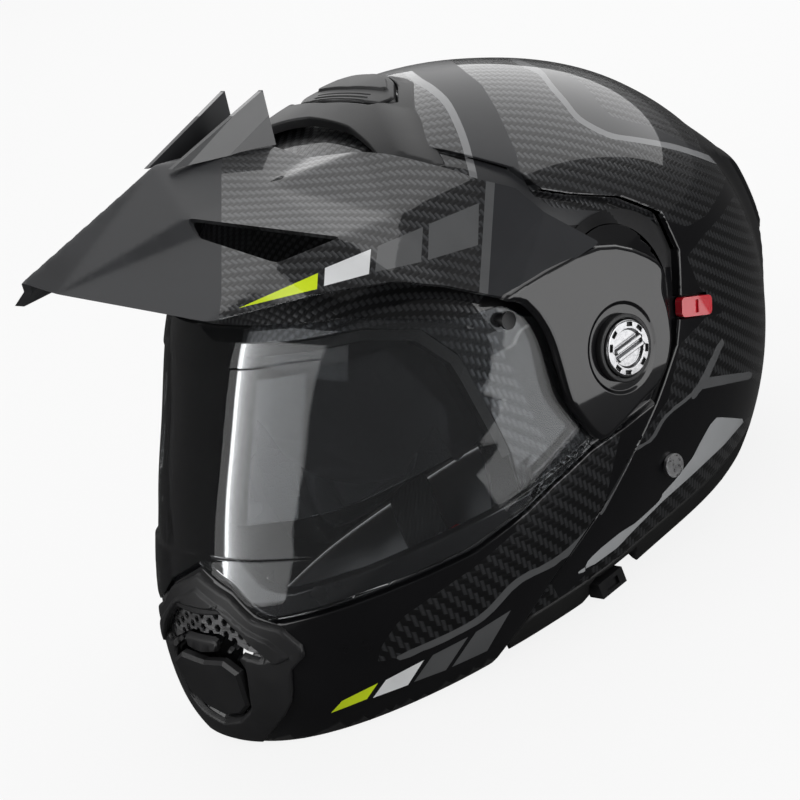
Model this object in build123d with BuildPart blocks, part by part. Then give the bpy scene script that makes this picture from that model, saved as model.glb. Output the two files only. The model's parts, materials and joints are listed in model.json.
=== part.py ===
from build123d import *
import math
import os

os.makedirs("parts", exist_ok=True)

# Dual sport helmet with a flip-up chin bar. Lengths are millimetres, angles are degrees.
# Frame: origin on the floor below the middle of the whole helmet, front towards -Y,
# wearer's left towards +X, +Z up. The helmet stands on its lower rim and chin bar.

# Driving sizes of the helmet form
form_size = 100.0          # side-view size that reaches and outlines are shares of
half_width = 125.0         # widest point of the outer shell from the middle plane
base_drop = 108.0          # knob axis above the floor
rim_height = 12.0          # rubber edge trim around the neck opening
sweep_power = 2.2          # how square the form is towards its widest point

# Walls and running gaps, from the shell outwards
shell_wall = 3.5
side_recess = 6.5          # depth of the sunk side of the shell under the chin bar arms
swing_gap = 1.0            # between shell and chin bar
chin_arm_wall = 3.2
chin_proud = 1.0           # chin bar outside the shell's widest point
chin_wall = 8.0
shield_gap = 0.9
shield_wall = 2.2
plate_gap = 1.2
plate_wall = 4.0
seat_gap = 0.3             # between pieces that rest against each other

# Inside
liner_thickness = 30.0     # energy absorbing foam at the crown
head_half_width = 84.0
comfort_thickness = 8.0
visor_reach = 112.0        # sun visor sweeps a barrel of this radius
visor_wall = 2.0
visor_gap = 1.0

# Hinges
chin_axis_back = 17.0      # chin bar hinge behind the knob axis
chin_axis_rise = 18.0      # and above it
hinge_pin_radius = 9.0
hinge_flange_radius = 14.0
post_radius = 9.0          # post that carries shield, peak and knob
fit_gap = 0.06
knob_radius = 12.8
knob_rise = 4.0
knob_shaft_radius = 5.0
ring_radius = 15.3
ring_gap = 0.4
ring_rise = 2.6
grip_width = 5.0
grip_length = 20.5
grip_rise = 2.2

far = 3 * form_size        # every through cut is this long each way

# Reaches from the knob axis to the middle line, by angle: 0 forward, 90 up, 180 back
shell_reach_shares = (
    (-90, 1.60), (-60, 1.88), (-40, 2.02), (-18, 1.78), (10, 1.32), (40, 1.20), (70, 1.18), (95, 1.21),
    (125, 1.315), (150, 1.48), (170, 1.62), (190, 1.69), (210, 1.70), (225, 1.68), (240, 1.64),
)
shell_fullness_shares = ((-90, 2.3), (-50, 1.95), (-25, 1.6), (10, 1.7), (45, 2.2), (90, 2.4), (180, 2.5))
chin_reach_shares = (
    (-90, 1.65), (-60, 1.90), (-42, 2.12), (-30, 2.14), (-18, 1.92), (-6, 1.64), (10, 1.40), (30, 1.28),
    (50, 1.24), (90, 1.24), (130, 1.30), (180, 1.40), (230, 1.40),
)
chin_fullness_shares = ((-90, 2.3), (-50, 1.9), (-25, 1.55), (5, 1.58), (30, 1.8), (60, 2.1), (180, 2.4))
barrel_shares = ((0, 1.0), (90, 1.0), (180, 1.0), (270, 1.0))
barrel_fullness_shares = ((0, 2.2), (90, 2.2), (180, 2.2), (270, 2.2))

# Directions in degrees that draw one slice of the form, closest where the chin is sharp
slice_angles = (
    -90, -75, -60, -48, -39, -30, -22, -14, -6, 3, 13, 24, 36, 48, 60, 72, 84, 96, 108, 120, 132, 144,
    156, 168, 180, 192, 204, 216, 228, 245,
)

# Slices from the middle plane to the flat at each side
slice_shares = (0.22, 0.42, 0.60, 0.76, 0.88, 0.95, 0.985)
flat_share = slice_shares[-1]


def share_at(table, angle):
    """Value of a closed table at an angle, on a smooth curve through its rows."""
    count = len(table)
    turn = (angle - table[0][0]) % 360 + table[0][0]
    first = max(i for i in range(count) if table[i][0] <= turn)
    rows = []
    for step in (-1, 0, 1, 2):
        laps, i = divmod(first + step, count)
        rows.append((table[i][0] + 360 * laps, table[i][1]))
    (a0, v0), (a1, v1), (a2, v2), (a3, v3) = rows
    t = (turn - a1) / (a2 - a1)
    slope_1 = (v2 - v0) / (a2 - a0) * (a2 - a1)
    slope_2 = (v3 - v1) / (a3 - a1) * (a2 - a1)
    rise = t * t * (3 - 2 * t)
    return (1 - rise) * v1 + rise * v2 + t * (1 - t) * ((1 - t) * slope_1 - t * slope_2)


def form_reach(kind, x, half, angle, inset):
    """Distance from the knob axis to the form's surface in the slice at x."""
    reaches, fullness, size = kind
    spread = max(0.0, 1 - abs(x / half) ** sweep_power)
    return (share_at(reaches, angle) * size - inset) * spread ** (1 / share_at(fullness, angle))


def form_points(kind, half, inset=0.0):
    """Corners of a closed helmet form, drawn in for an inner surface."""
    points = []
    for share in [-s for s in slice_shares] + [0.0] + list(slice_shares):
        for angle in slice_angles:
            reach = form_reach(kind, share * half, half, angle, inset)
            points.append(spot(share * half, angle, reach))
    return points


def spot(x, angle, reach):
    """Point at an angle and distance from the knob axis."""
    turn = math.radians(angle)
    return (x, pivot_y - reach * math.cos(turn), pivot_z + reach * math.sin(turn))


def place(x, y, z):
    """Point given from the knob axis."""
    return (x, pivot_y + y, pivot_z + z)


def both_sides(points):
    """Points and their mirror images across the middle plane."""
    return points + [(-x, y, z) for x, y, z in points]


def sized(shares, across=form_size, up=form_size):
    """Outline of shares brought to its size."""
    return [(u * across, v * up) for u, v in shares]


def mirrored(points):
    """Closed outline from its right half, whose first and last points are on the middle line."""
    return points + [(-u, v) for u, v in reversed(points) if u]


def outline_cut(points, plane, mode=Mode.INTERSECT, low=-far, high=far, inset=0.0):
    """Prism of an outline between two distances along the plane's normal, in the part being built."""
    with BuildSketch(plane.offset(low)) as face:
        with BuildLine():
            Polyline(*points, close=True)
        make_face()
        if inset:
            offset(amount=-inset)
    extrude(face.sketch, amount=high - low, mode=mode)


def disc(y, z, radius, low, high, mode=Mode.ADD):
    """Round boss or bore along X, placed from the knob axis."""
    with BuildSketch(side_plane.offset(low)) as face:
        with Locations((y, z)):
            Circle(radius)
    extrude(face.sketch, amount=high - low, mode=mode)


def save(part, name):
    """Label a finished piece and write it."""
    part.label = name
    export_step(part, f"parts/{name}.step")


def block(low, high, mode=Mode.ADD):
    """Box between two corners given from the knob axis."""
    size = [b - a for a, b in zip(low, high)]
    middle = [(a + b) / 2 for a, b in zip(low, high)]
    with BuildPart(mode=Mode.PRIVATE) as box:
        with Locations(place(*middle)):
            Box(*size)
    add(box.part, mode=mode)


def ribbon(route, width, thickness, across):
    """Strap along a route of points, its width along one fixed direction."""
    wide = Vector(*across) * (width / 2)
    corners = []
    for i, here in enumerate(route):
        before = Vector(*route[max(i - 1, 0)])
        after = Vector(*route[min(i + 1, len(route) - 1)])
        side = (after - before).cross(wide).normalized() * (thickness / 2)
        middle = Vector(*here)
        corners.append([middle + a * wide + b * side for a in (-1, 1) for b in (-1, 1)])
    for first, second in zip(corners, corners[1:]):
        ConvexPolyhedron([tuple(corner) for corner in first + second])


# Spoiler across the back of the shell: angle and rise of its edges, and its rise from the middle out
spoiler_half = 84.0
spoiler_proud = 10.0
spoiler_sink_share = 0.4
spoiler_edge_shares = ((162, -spoiler_sink_share), (176, 1.0), (182, 1.0), (200, -spoiler_sink_share))
spoiler_across_shares = ((0.0, 0.4), (0.5, 0.7), (0.85, 1.0), (1.0, 0.4))

# Place of the knob axis: the helmet is centred on the floor from its peak tip to its spoiler
peak_tip_share = 1.91
back_reach = max(
    -math.cos(math.radians(angle))
    * (share_at(shell_reach_shares, angle) * form_size + rise * spoiler_across_shares[0][1] * spoiler_proud)
    for angle, rise in spoiler_edge_shares
)
pivot_y = (peak_tip_share * form_size - back_reach) / 2
pivot_z = base_drop

side_plane = Plane(origin=(0, pivot_y, pivot_z), x_dir=(0, 1, 0), z_dir=(1, 0, 0))
front_plane = Plane(origin=(0, pivot_y, pivot_z), x_dir=(1, 0, 0), z_dir=(0, -1, 0))
top_plane = Plane(origin=(0, pivot_y, pivot_z), x_dir=(1, 0, 0), z_dir=(0, 0, 1))

shell_kind = (shell_reach_shares, shell_fullness_shares, form_size)
chin_kind = (chin_reach_shares, chin_fullness_shares, form_size)
barrel_kind = (barrel_shares, barrel_fullness_shares, visor_reach)

# Half widths of the layers at the side, outwards
recess_half = half_width - side_recess
chin_in_half = recess_half + swing_gap
chin_arm_half = chin_in_half + chin_arm_wall
chin_half = half_width + chin_proud
shield_in_half = chin_arm_half + shield_gap
shield_half = shield_in_half + shield_wall

# Flats of the same layers around the hinges
shell_flat = recess_half * flat_share
shell_in_flat = (recess_half - shell_wall) * flat_share
chin_in_flat = chin_in_half * flat_share
chin_arm_flat = chin_arm_half * flat_share
shield_in_flat = shield_in_half * flat_share
shield_flat = shield_half * flat_share
plate_in = shield_flat + plate_gap
plate_out = plate_in + plate_wall
arm_inset = shield_wall + shield_gap

# Side-view outlines, from the knob axis: (back, up) as shares of the form size
full_zone_shares = (
    (-0.99, -1.09), (-0.97, -1.07), (-0.64, -0.82), (-0.26, -0.60), (0.02, -0.42), (0.20, -0.29),
    (0.34, -0.18), (0.46, 0.0), (0.57, 0.18), (0.58, 0.36), (0.42, 0.52), (0.18, 0.66), (0.07, 0.74),
    (0.04, 0.86), (-0.12, 1.04), (-0.30, 1.50), (2.5, 1.50), (2.5, -1.50), (-1.3, -1.50),
)
shell_outline_shares = (
    (-1.60, 0.60), (-0.86, 0.54), (-0.70, 0.46), (-0.63, 0.30), (-0.62, -0.20), (-0.66, -0.56),
    (-0.82, -0.82), (-1.02, -0.97), (-1.02, -1.30), (2.5, -1.30), (2.5, 1.60), (-1.60, 1.60),
)
seal_band_shares = (
    (-1.60, 0.60), (-0.86, 0.54), (-0.70, 0.46), (-0.63, 0.30), (-0.62, -0.20), (-0.66, -0.20),
    (-0.67, 0.28), (-0.74, 0.43), (-0.88, 0.50), (-1.60, 0.56),
)
trim_front_shares = ((-0.97, -1.3), (-0.97, -1.09), (-0.79, -0.95), (2.5, -0.95), (2.5, -1.3))
liner_outline_shares = (
    (-1.60, 0.65), (-0.82, 0.59), (-0.62, 0.46), (-0.55, 0.30), (-0.54, -0.40), (-0.62, -0.62),
    (-0.62, -0.88), (2.5, -0.88), (2.5, 1.60), (-1.60, 1.60),
)
visor_pocket_shares = (
    (-1.60, -0.40), (-0.60, -0.20), (0.04, -0.15), (0.14, -0.08), (0.14, 0.10), (0.08, 0.60), (0.15, 1.60),
    (-1.60, 1.60),
)
crown_pad_shares = (
    (-1.60, 0.70), (-0.78, 0.60), (-0.20, 0.12), (0.30, -0.18), (1.6, -0.40), (1.6, 1.60), (-1.60, 1.60),
)
cheek_shares = (
    (-0.54, -0.84), (-0.50, -0.40), (-0.40, -0.16), (-0.18, -0.06), (0.08, -0.14), (0.12, -0.40),
    (0.04, -0.84),
)
chin_outline_shares = (
    (-1.00, -1.08), (-0.646, -0.811), (-0.265, -0.591), (0.014, -0.412), (0.194, -0.282), (0.333, -0.173),
    (0.42, -0.02), (0.10, 0.40), (-0.01, 0.24), (-0.07, 0.155), (-0.30, 0.10), (-0.31, -0.22),
    (-0.54, -0.30), (-0.92, -0.38), (-1.40, -0.40), (-1.45, -0.10), (-2.4, -0.10), (-2.4, -1.08),
)
chin_flush_shares = (
    (0.40, -1.5), (0.40, -0.33), (-0.31, -0.34), (-0.54, -0.39), (-0.70, -0.44), (-0.96, -0.49),
    (-2.5, -0.49), (-2.5, -1.5),
)
shield_outline_shares = (
    (-0.12, -0.20), (-0.31, -0.33), (-0.54, -0.38), (-0.70, -0.43), (-0.96, -0.48), (-2.4, -0.48),
    (-2.4, 0.62), (-1.09, 0.66), (-0.89, 0.62), (-0.60, 0.46), (-0.40, 0.43), (-0.36, 0.36), (-0.14, 0.18),
    (0.0, 0.12), (0.0, -0.12),
)
lip_band_shares = (
    (-0.31, -0.33), (-0.54, -0.38), (-0.70, -0.43), (-0.96, -0.48), (-2.4, -0.48), (-2.4, -0.05),
    (-1.50, -0.25), (-1.16, -0.38), (-0.85, -0.36), (-0.54, -0.33), (-0.31, -0.29),
)
plate_shares = (
    (-0.48, 0.53), (-0.41, 0.45), (-0.36, 0.34), (-0.345, 0.23), (-0.355, 0.10), (-0.37, -0.05),
    (-0.355, -0.13), (-0.31, -0.27), (-0.25, -0.32), (-0.09, -0.30), (0.03, -0.28), (0.13, -0.265),
    (0.22, -0.21), (0.29, -0.12), (0.33, 0.0), (0.34, 0.10), (0.37, 0.24), (0.08, 0.47),
)

# Front-view outlines: (across, up), right half from the middle line outwards and back
nose_shares = ((0.0, -0.25), (0.22, -0.34), (0.34, -0.44), (0.46, -0.50), (0.46, -0.70), (0.0, -0.70))
ledge_top_shares = (
    (0.0, 0.40), (1.40, 0.40), (1.40, -0.38), (0.48, -0.40), (0.37, -0.36), (0.25, -0.26), (0.15, -0.18),
    (0.0, -0.16),
)
notch_shares = ((0.0, -0.24), (0.22, -0.33), (0.34, -0.43), (0.45, -0.49), (0.45, -0.90), (0.0, -0.90))
mesh_shares = (
    (0.0, -0.44), (0.17, -0.43), (0.29, -0.52), (0.39, -0.63), (0.35, -0.64), (0.10, -0.54), (0.0, -0.54),
)
vent_cover_shares = (
    (0.0, -0.28), (0.22, -0.36), (0.34, -0.46), (0.46, -0.51), (0.55, -0.64), (0.47, -0.70), (0.44, -0.84),
    (0.38, -0.91), (0.20, -1.05), (0.0, -1.05),
)
vent_slider_shares = ((0.0, -0.65), (0.16, -0.63), (0.25, -0.68), (0.22, -0.86), (0.13, -0.92), (0.0, -0.95))
visor_edge_shares = (
    (0.0, 0.18), (0.06, 0.12), (0.12, -0.01), (0.30, -0.13), (0.48, -0.18), (0.66, -0.18), (0.74, -0.09),
    (0.84, 0.02), (0.84, -1.2), (0.0, -1.2),
)


def form(kind, half, inset=0.0):
    """One closed helmet form as a part."""
    with BuildPart(mode=Mode.PRIVATE) as body:
        ConvexPolyhedron(form_points(kind, half, inset))
    return body.part


def shell_body(inset):
    """Solid outside form of the shell, or its hollow when drawn in."""
    with BuildPart(mode=Mode.PRIVATE) as body:
        ConvexPolyhedron(form_points(shell_kind, half_width - inset, inset))
        outline_cut(sized(full_zone_shares), side_plane, inset=inset)
        ConvexPolyhedron(form_points(shell_kind, recess_half - inset, inset))
    return body.part


shell_outside = shell_body(0.0)
shell_hollow = shell_body(shell_wall)
head_hollow = form(shell_kind, head_half_width - seat_gap, shell_wall + liner_thickness + seat_gap)

# Strap rivets: place from the knob axis
rivet_back = 12.0
rivet_drop = 69.0
rivet_radius = 3.0
rivet_head_radius = 5.5
rivet_head_rise = 1.6

# Lock slider on the left side
lock_back = 53.0
lock_drop = 8.5
lock_tilt = -24.0
lock_length = 19.0
lock_height = 9.0
lock_travel = 4.0
lock_margin = 1.0
lock_floor = half_width - 5.8
lock_rise = 4.4
lock_grip = 6.0

# Latch pins at the lower front corners of the shell
striker_back = -84.0
striker_drop = 86.0
striker_radius = 3.0
striker_rise = 3.2
striker_slope = -43.4

# Outer shell
with BuildPart() as outer_shell:
    add(shell_outside)
    add(shell_hollow, mode=Mode.SUBTRACT)
    outline_cut(sized(shell_outline_shares), side_plane)
    with BuildSketch(Plane.XY.offset(rim_height)):
        Rectangle(2 * far, 2 * far)
    extrude(amount=far, mode=Mode.INTERSECT)
    for end in (-far, 0.0):
        disc(chin_axis_back, chin_axis_rise, hinge_pin_radius + fit_gap, end, end + far, Mode.SUBTRACT)
        disc(rivet_back, -rivet_drop, rivet_radius + fit_gap, end, end + far, Mode.SUBTRACT)
    with BuildSketch(side_plane.offset(lock_floor)):
        with Locations(Location((lock_back, -lock_drop, 0), (0, 0, lock_tilt))):
            with Locations((-lock_travel / 2, 0)):
                Rectangle(lock_length + lock_travel + 2 * lock_margin, lock_height + 2 * lock_margin)
    extrude(amount=far, mode=Mode.SUBTRACT)
save(outer_shell.part, "outer_shell")

# Rubber edge trim with the opening that the visor lever slides in
lever_back = -36.0
lever_length = 16.0
lever_travel = 12.0
lever_margin = 1.0
lever_height = 8.0
trim_wall = 6.5
lever_slot_front = lever_back - lever_length / 2 - lever_margin
lever_slot_back = lever_back + lever_length / 2 + lever_travel + lever_margin
with BuildPart() as shell_edge_trim:
    ConvexPolyhedron(form_points(shell_kind, half_width, 0.0))
    add(form(shell_kind, half_width - trim_wall, trim_wall), mode=Mode.SUBTRACT)
    outline_cut(sized(trim_front_shares), side_plane)
    with BuildSketch(Plane.XY):
        Rectangle(2 * far, 2 * far)
    extrude(amount=rim_height - seat_gap, mode=Mode.INTERSECT)
    block((0.0, lever_slot_front, -base_drop), (far, lever_slot_back, lever_height + seat_gap - base_drop),
          Mode.SUBTRACT)
save(shell_edge_trim.part, "shell_edge_trim")

# Impact foam liner: pocket for the sun visor, room for the hinges and the strap ends
visor_side_gap = 5.0
visor_half = recess_half - shell_wall - visor_side_gap
strap_width = 22.0
strap_thickness = 2.0
strap_side_gap = 2.2
strap_room = 9.0
with BuildPart() as visor_pocket:
    outline_cut(sized(visor_pocket_shares), side_plane, Mode.ADD)
    add(
        form(barrel_kind, visor_half - visor_wall - visor_gap, visor_wall + visor_gap),
        mode=Mode.SUBTRACT,
    )
with BuildPart() as eps_liner:
    add(shell_body(shell_wall + seat_gap))
    outline_cut(sized(liner_outline_shares), side_plane)
    ConvexPolyhedron(
        form_points(shell_kind, head_half_width, shell_wall + liner_thickness), mode=Mode.SUBTRACT
    )
    add(visor_pocket.part, mode=Mode.SUBTRACT)
    strap_top = -rivet_drop + strap_width / 2 + lever_margin
    for low, high in ((shell_in_flat - 2 * strap_room, far), (-far, 2 * strap_room - shell_in_flat)):
        slot_half = strap_width / 2 + strap_side_gap
        block((low, rivet_back - slot_half, -far), (high, rivet_back + slot_half, strap_top), Mode.SUBTRACT)
        flange_room = shell_in_flat - strap_room
        start, end = (flange_room, far) if low > 0 else (-far, -flange_room)
        disc(chin_axis_back, chin_axis_rise, hinge_flange_radius + visor_gap, start, end, Mode.SUBTRACT)
save(eps_liner.part, "eps_liner")

# Comfort padding against the head
pad_inset = shell_wall + liner_thickness + seat_gap
with BuildPart() as crown_pad:
    add(head_hollow)
    add(
        form(shell_kind, head_half_width - seat_gap - comfort_thickness, pad_inset + comfort_thickness),
        mode=Mode.SUBTRACT,
    )
    outline_cut(sized(crown_pad_shares), side_plane)
save(crown_pad.part, "crown_pad")

cheek_inside = 64.0
for side_name, side in (("left", 1), ("right", -1)):
    with BuildPart() as cheek_pad:
        add(head_hollow)
        low, high = sorted((side * cheek_inside, side * far))
        outline_cut(sized(cheek_shares), side_plane, low=low, high=high)
    save(cheek_pad.part, f"cheek_pad_{side_name}")

neck_top = -64.0
neck_bottom = -86.0
neck_front = 24.0
neck_half = 64.0
neck_reach = 88.0
neck_middle = 12.0
with BuildPart() as neck_roll:
    add(head_hollow)
    with BuildSketch(top_plane.offset(neck_bottom)):
        with Locations((0, neck_front + far)):
            Rectangle(2 * far, 2 * far)
        with Locations((0, neck_middle)):
            Ellipse(neck_half, neck_reach, mode=Mode.SUBTRACT)
    extrude(amount=neck_top - neck_bottom, mode=Mode.INTERSECT)
save(neck_roll.part, "neck_roll")

# Rubber seal along the brow and the sides of the eye port
seal_proud = 2.5
with BuildPart() as brow_seal:
    ConvexPolyhedron(form_points(shell_kind, recess_half, -seal_proud))
    add(form(shell_kind, recess_half - shell_wall, shell_wall), mode=Mode.SUBTRACT)
    outline_cut(sized(seal_band_shares), side_plane)
    with BuildSketch(side_plane.offset(-far)):
        with Locations((-far, 0)):
            Rectangle(2 * (far - form_size / 2), 2 * far)
    extrude(amount=2 * far, mode=Mode.INTERSECT)
save(brow_seal.part, "brow_seal")

# Top vent: scoop on the crown with a mouth towards the front, and its slider
scoop_shares = (
    (0.0, -0.20, 1.27), (0.30, -0.225, 1.22), (0.46, -0.27, 1.17), (0.60, -0.32, 1.11), (0.70, -0.28, 1.07),
    (0.75, -0.14, 1.06), (0.60, -0.05, 1.14), (0.42, 0.06, 1.21), (0.22, 0.25, 1.245), (0.14, 0.28, 1.25),
    (0.0, 0.31, 1.245), (0.0, 0.0, 0.9), (0.5, -0.15, 0.9),
)
scoop_mouth = 3.6
mouth_half = 52.0
mouth_back = -6.0
slide_outline_shares = (
    (0.0, -0.05), (0.30, -0.03), (0.34, 0.03), (0.22, 0.15), (0.10, 0.21), (0.0, 0.22),
)
top_travel = 4.0
slider_bottom = 121.4
slider_top = 7.0
slider_margin = 0.5
scoop_points = [place(x * form_size, y * form_size, z * form_size) for x, y, z in scoop_shares]
slide_half = sized(slide_outline_shares)
slide_outline = mirrored(slide_half)
widest = slide_half.index(max(slide_half))
slide_room = mirrored([(x, y - top_travel) for x, y in slide_half[: widest + 1]] + slide_half[widest:])
with BuildPart() as scoop_air:
    ConvexPolyhedron(form_points(shell_kind, recess_half, -scoop_mouth))
    block((-mouth_half, -far, 0.0), (mouth_half, mouth_back, far), Mode.INTERSECT)
with BuildPart() as top_vent_housing:
    ConvexPolyhedron(both_sides(scoop_points))
    add(shell_outside, mode=Mode.SUBTRACT)
    add(scoop_air.part, mode=Mode.SUBTRACT)
    with BuildSketch(top_plane.offset(form_size)):
        with BuildLine():
            Polyline(*slide_room, close=True)
        make_face()
        offset(amount=slider_margin, kind=Kind.INTERSECTION)
    extrude(amount=far, mode=Mode.SUBTRACT)
save(top_vent_housing.part, "top_vent_housing")

with BuildPart() as top_vent_slider:
    ConvexPolyhedron(form_points(shell_kind, recess_half, -slider_top))
    outline_cut(slide_outline, top_plane, low=slider_bottom, high=far)
save(top_vent_slider.part, "top_vent_slider")

# Lock slider beside the chin bar hinge
with BuildPart() as lock_slider:
    with BuildSketch(side_plane.offset(lock_floor + seat_gap)):
        with Locations(Location((lock_back, -lock_drop, 0), (0, 0, lock_tilt))):
            RectangleRounded(lock_length, lock_height, lock_height / 4)
    extrude(amount=lock_rise)
    with BuildSketch(side_plane.offset(lock_floor + seat_gap + lock_rise)):
        with Locations(Location((lock_back, -lock_drop, 0), (0, 0, lock_tilt))):
            Rectangle(lock_length / 10, lock_grip)
    extrude(amount=-lock_rise / 4, mode=Mode.SUBTRACT)
save(lock_slider.part, "lock_slider")

# Spoiler across the back of the shell
spoiler_points = []
for across, lift_share in spoiler_across_shares:
    for angle, rise in spoiler_edge_shares:
        lift = rise * (lift_share if rise > 0 else 1.0) * spoiler_proud
        reach = form_reach(shell_kind, across * spoiler_half, half_width, angle, 0.0) + lift
        spoiler_points.append(spot(across * spoiler_half, angle, reach))
with BuildPart() as rear_spoiler:
    ConvexPolyhedron(both_sides(spoiler_points))
    add(shell_outside, mode=Mode.SUBTRACT)
save(rear_spoiler.part, "rear_spoiler")

# Chin bar hinge pins with a flange inside the shell
flange_thickness = 3.0
flange_gap = 2.2
flange_out = shell_in_flat - flange_gap
with BuildPart() as hinge_pins:
    for side in (1, -1):
        steps = (
            (hinge_flange_radius, flange_out - flange_thickness, flange_out),
            (hinge_pin_radius, flange_out - flange_thickness, chin_arm_flat),
        )
        for radius, low, high in steps:
            start, end = sorted((side * low, side * high))
            disc(chin_axis_back, chin_axis_rise, radius, start, end)
save(hinge_pins.part, "hinge_pins")

# Sun visor pins, latch pins and strap rivets
visor_pin_radius = 3.5
visor_flat = visor_half * flat_share
with BuildPart() as visor_pivots:
    for side in (1, -1):
        start, end = sorted((side * (visor_flat - visor_wall), side * (shell_in_flat - fit_gap)))
        disc(0.0, 0.0, visor_pin_radius, start, end)
save(visor_pivots.part, "visor_pivots")

with BuildPart() as striker_reach:
    ConvexPolyhedron(form_points(shell_kind, recess_half + striker_rise, -striker_rise))
    ConvexPolyhedron(form_points(shell_kind, recess_half, 0.0), mode=Mode.SUBTRACT)
with BuildPart() as striker_pins:
    for end in (-far, 0.0):
        disc(striker_back, -striker_drop, striker_radius, end, end + far)
    add(striker_reach.part, mode=Mode.INTERSECT)
save(striker_pins.part, "striker_pins")

rivet_in = 107.6
rivet_seat = 118.0
with BuildPart() as strap_rivets:
    for side in (1, -1):
        start, end = sorted((side * rivet_in, side * rivet_seat))
        disc(rivet_back, -rivet_drop, rivet_radius, start, end)
        start, end = sorted((side * rivet_seat, side * (rivet_seat + rivet_head_rise)))
        disc(rivet_back, -rivet_drop, rivet_head_radius, start, end)
save(strap_rivets.part, "strap_rivets")

# Sun visor: part of a barrel turned about the knob axis, with two arms
visor_outline_shares = (
    (-0.10, -0.10), (-0.55, -0.06), (-0.80, -0.22), (-1.40, -0.22), (-1.40, 1.10), (-0.86, 0.98),
    (-0.46, 0.52), (-0.30, 0.24), (-0.05, 0.09), (0.06, 0.08), (0.06, -0.08),
)
visor_front = 58.0
with BuildPart() as sun_visor:
    ConvexPolyhedron(form_points(barrel_kind, visor_half, 0.0))
    add(form(barrel_kind, visor_half - visor_wall, visor_wall), mode=Mode.SUBTRACT)
    outline_cut(sized(visor_outline_shares), side_plane)
    outline_cut(mirrored(sized(visor_edge_shares)), front_plane, Mode.SUBTRACT, low=visor_front, high=far)
    disc(0.0, 0.0, visor_pin_radius + fit_gap, -far, far, Mode.SUBTRACT)
save(sun_visor.part, "sun_visor")

# Lever in the edge trim that lowers and lifts the sun visor
lever_in = 98.5
lever_out = 107.5
with BuildPart() as sun_visor_lever:
    block((lever_in, lever_back - lever_length / 2, seat_gap - base_drop),
          (lever_out, lever_back + lever_length / 2, lever_height - base_drop))
    with BuildSketch(side_plane.offset(lever_out)):
        with Locations((lever_back, lever_height / 2 - base_drop)):
            Rectangle(lever_length / 2, lever_height / 2)
    extrude(amount=-lever_height / 4, mode=Mode.SUBTRACT)
save(sun_visor_lever.part, "sun_visor_lever")

# Chin bar
release_half = 15.0
release_front = -178.0
release_back = -171.0
release_rise = 10.0
release_travel = 3.0
release_wall = 2.5
vent_floor = -182.6
vent_slider_travel = 3.5
vent_slider_margin = 0.6
liner_skin = 9.0
hub_radius = 31.0
hub_front = -1.0           # the swinging shield passes in front of this
chin_hollow = form(chin_kind, chin_in_half, chin_wall)
swing_hollow = form(shell_kind, recess_half + swing_gap, -swing_gap)
chin_outside = form(chin_kind, chin_half)
with BuildPart() as nose_block:
    add(chin_outside)
    outline_cut(mirrored(sized(nose_shares)), front_plane, low=form_size, high=far)
with BuildPart() as chin_flush:
    add(chin_outside)
    outline_cut(sized(chin_flush_shares), side_plane)
    add(nose_block.part)
striker_room = 2 * striker_radius + 2 * lever_margin
with BuildPart() as striker_slot:
    ConvexPolyhedron(
        form_points(shell_kind, recess_half + striker_rise + lever_margin, -striker_rise - lever_margin)
    )
    with BuildSketch(side_plane.offset(-far)):
        with Locations(Location((striker_back, -striker_drop, 0), (0, 0, striker_slope))):
            Rectangle(striker_room, striker_room)
            with Locations((form_size / 4, 0)):
                Rectangle(form_size / 2, striker_room)
    extrude(amount=2 * far, mode=Mode.INTERSECT)
with BuildPart() as chin_bar:
    ConvexPolyhedron(form_points(chin_kind, chin_arm_half, arm_inset))
    outline_cut(mirrored(sized(ledge_top_shares)), front_plane, Mode.SUBTRACT, low=form_size, high=far)
    add(chin_flush.part)
    outline_cut(sized(chin_outline_shares), side_plane)
    add(chin_hollow, mode=Mode.SUBTRACT)
    add(swing_hollow, mode=Mode.SUBTRACT)
    outline_cut(mirrored(sized(mesh_shares)), front_plane, Mode.SUBTRACT, low=form_size, high=far)
    for side in (1, -1):
        start, end = sorted((side * chin_in_flat, side * chin_arm_flat))
        with BuildSketch(side_plane.offset(start)) as hub_face:
            with Locations((chin_axis_back, chin_axis_rise)):
                Circle(hub_radius)
            with Locations((far + hub_front, 0)):
                Rectangle(2 * far, 2 * far, mode=Mode.INTERSECT)
        extrude(hub_face.sketch, amount=end - start)
        start, end = sorted((side * chin_in_flat, side * plate_in))
        disc(0.0, 0.0, post_radius, start, end)
        start, end = sorted((side * (chin_in_flat - hub_radius), side * (chin_arm_flat + seat_gap)))
        disc(chin_axis_back, chin_axis_rise, hinge_pin_radius + fit_gap, start, end, Mode.SUBTRACT)
        start, end = sorted((side * chin_arm_flat, side * far))
        disc(0.0, 0.0, knob_shaft_radius + fit_gap, start, end, Mode.SUBTRACT)
    add(striker_slot.part, mode=Mode.SUBTRACT)
    release_top = release_rise + release_travel - base_drop
    block(
        (-release_half - release_wall, release_front - release_wall, -base_drop),
        (release_half + release_wall, release_back + release_wall, release_top),
    )
    block(
        (-release_half - seat_gap, release_front - seat_gap, -base_drop),
        (release_half + seat_gap, release_back + seat_gap, release_top - release_wall),
        Mode.SUBTRACT,
    )
    slider_outline = mirrored(sized(vent_slider_shares))
    for lift in (0.0, vent_slider_travel):
        moved = [(x, z + lift) for x, z in slider_outline]
        outline_cut(moved, front_plane, Mode.SUBTRACT, low=-vent_floor, high=far, inset=-vent_slider_margin)
save(chin_bar.part, "chin_bar")

# Release button in the front lower edge of the chin bar
with BuildPart() as release_button:
    block(
        (-release_half, release_front, seat_gap - base_drop),
        (release_half, release_back, release_rise - release_wall - base_drop),
    )
save(release_button.part, "release_button")

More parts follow.
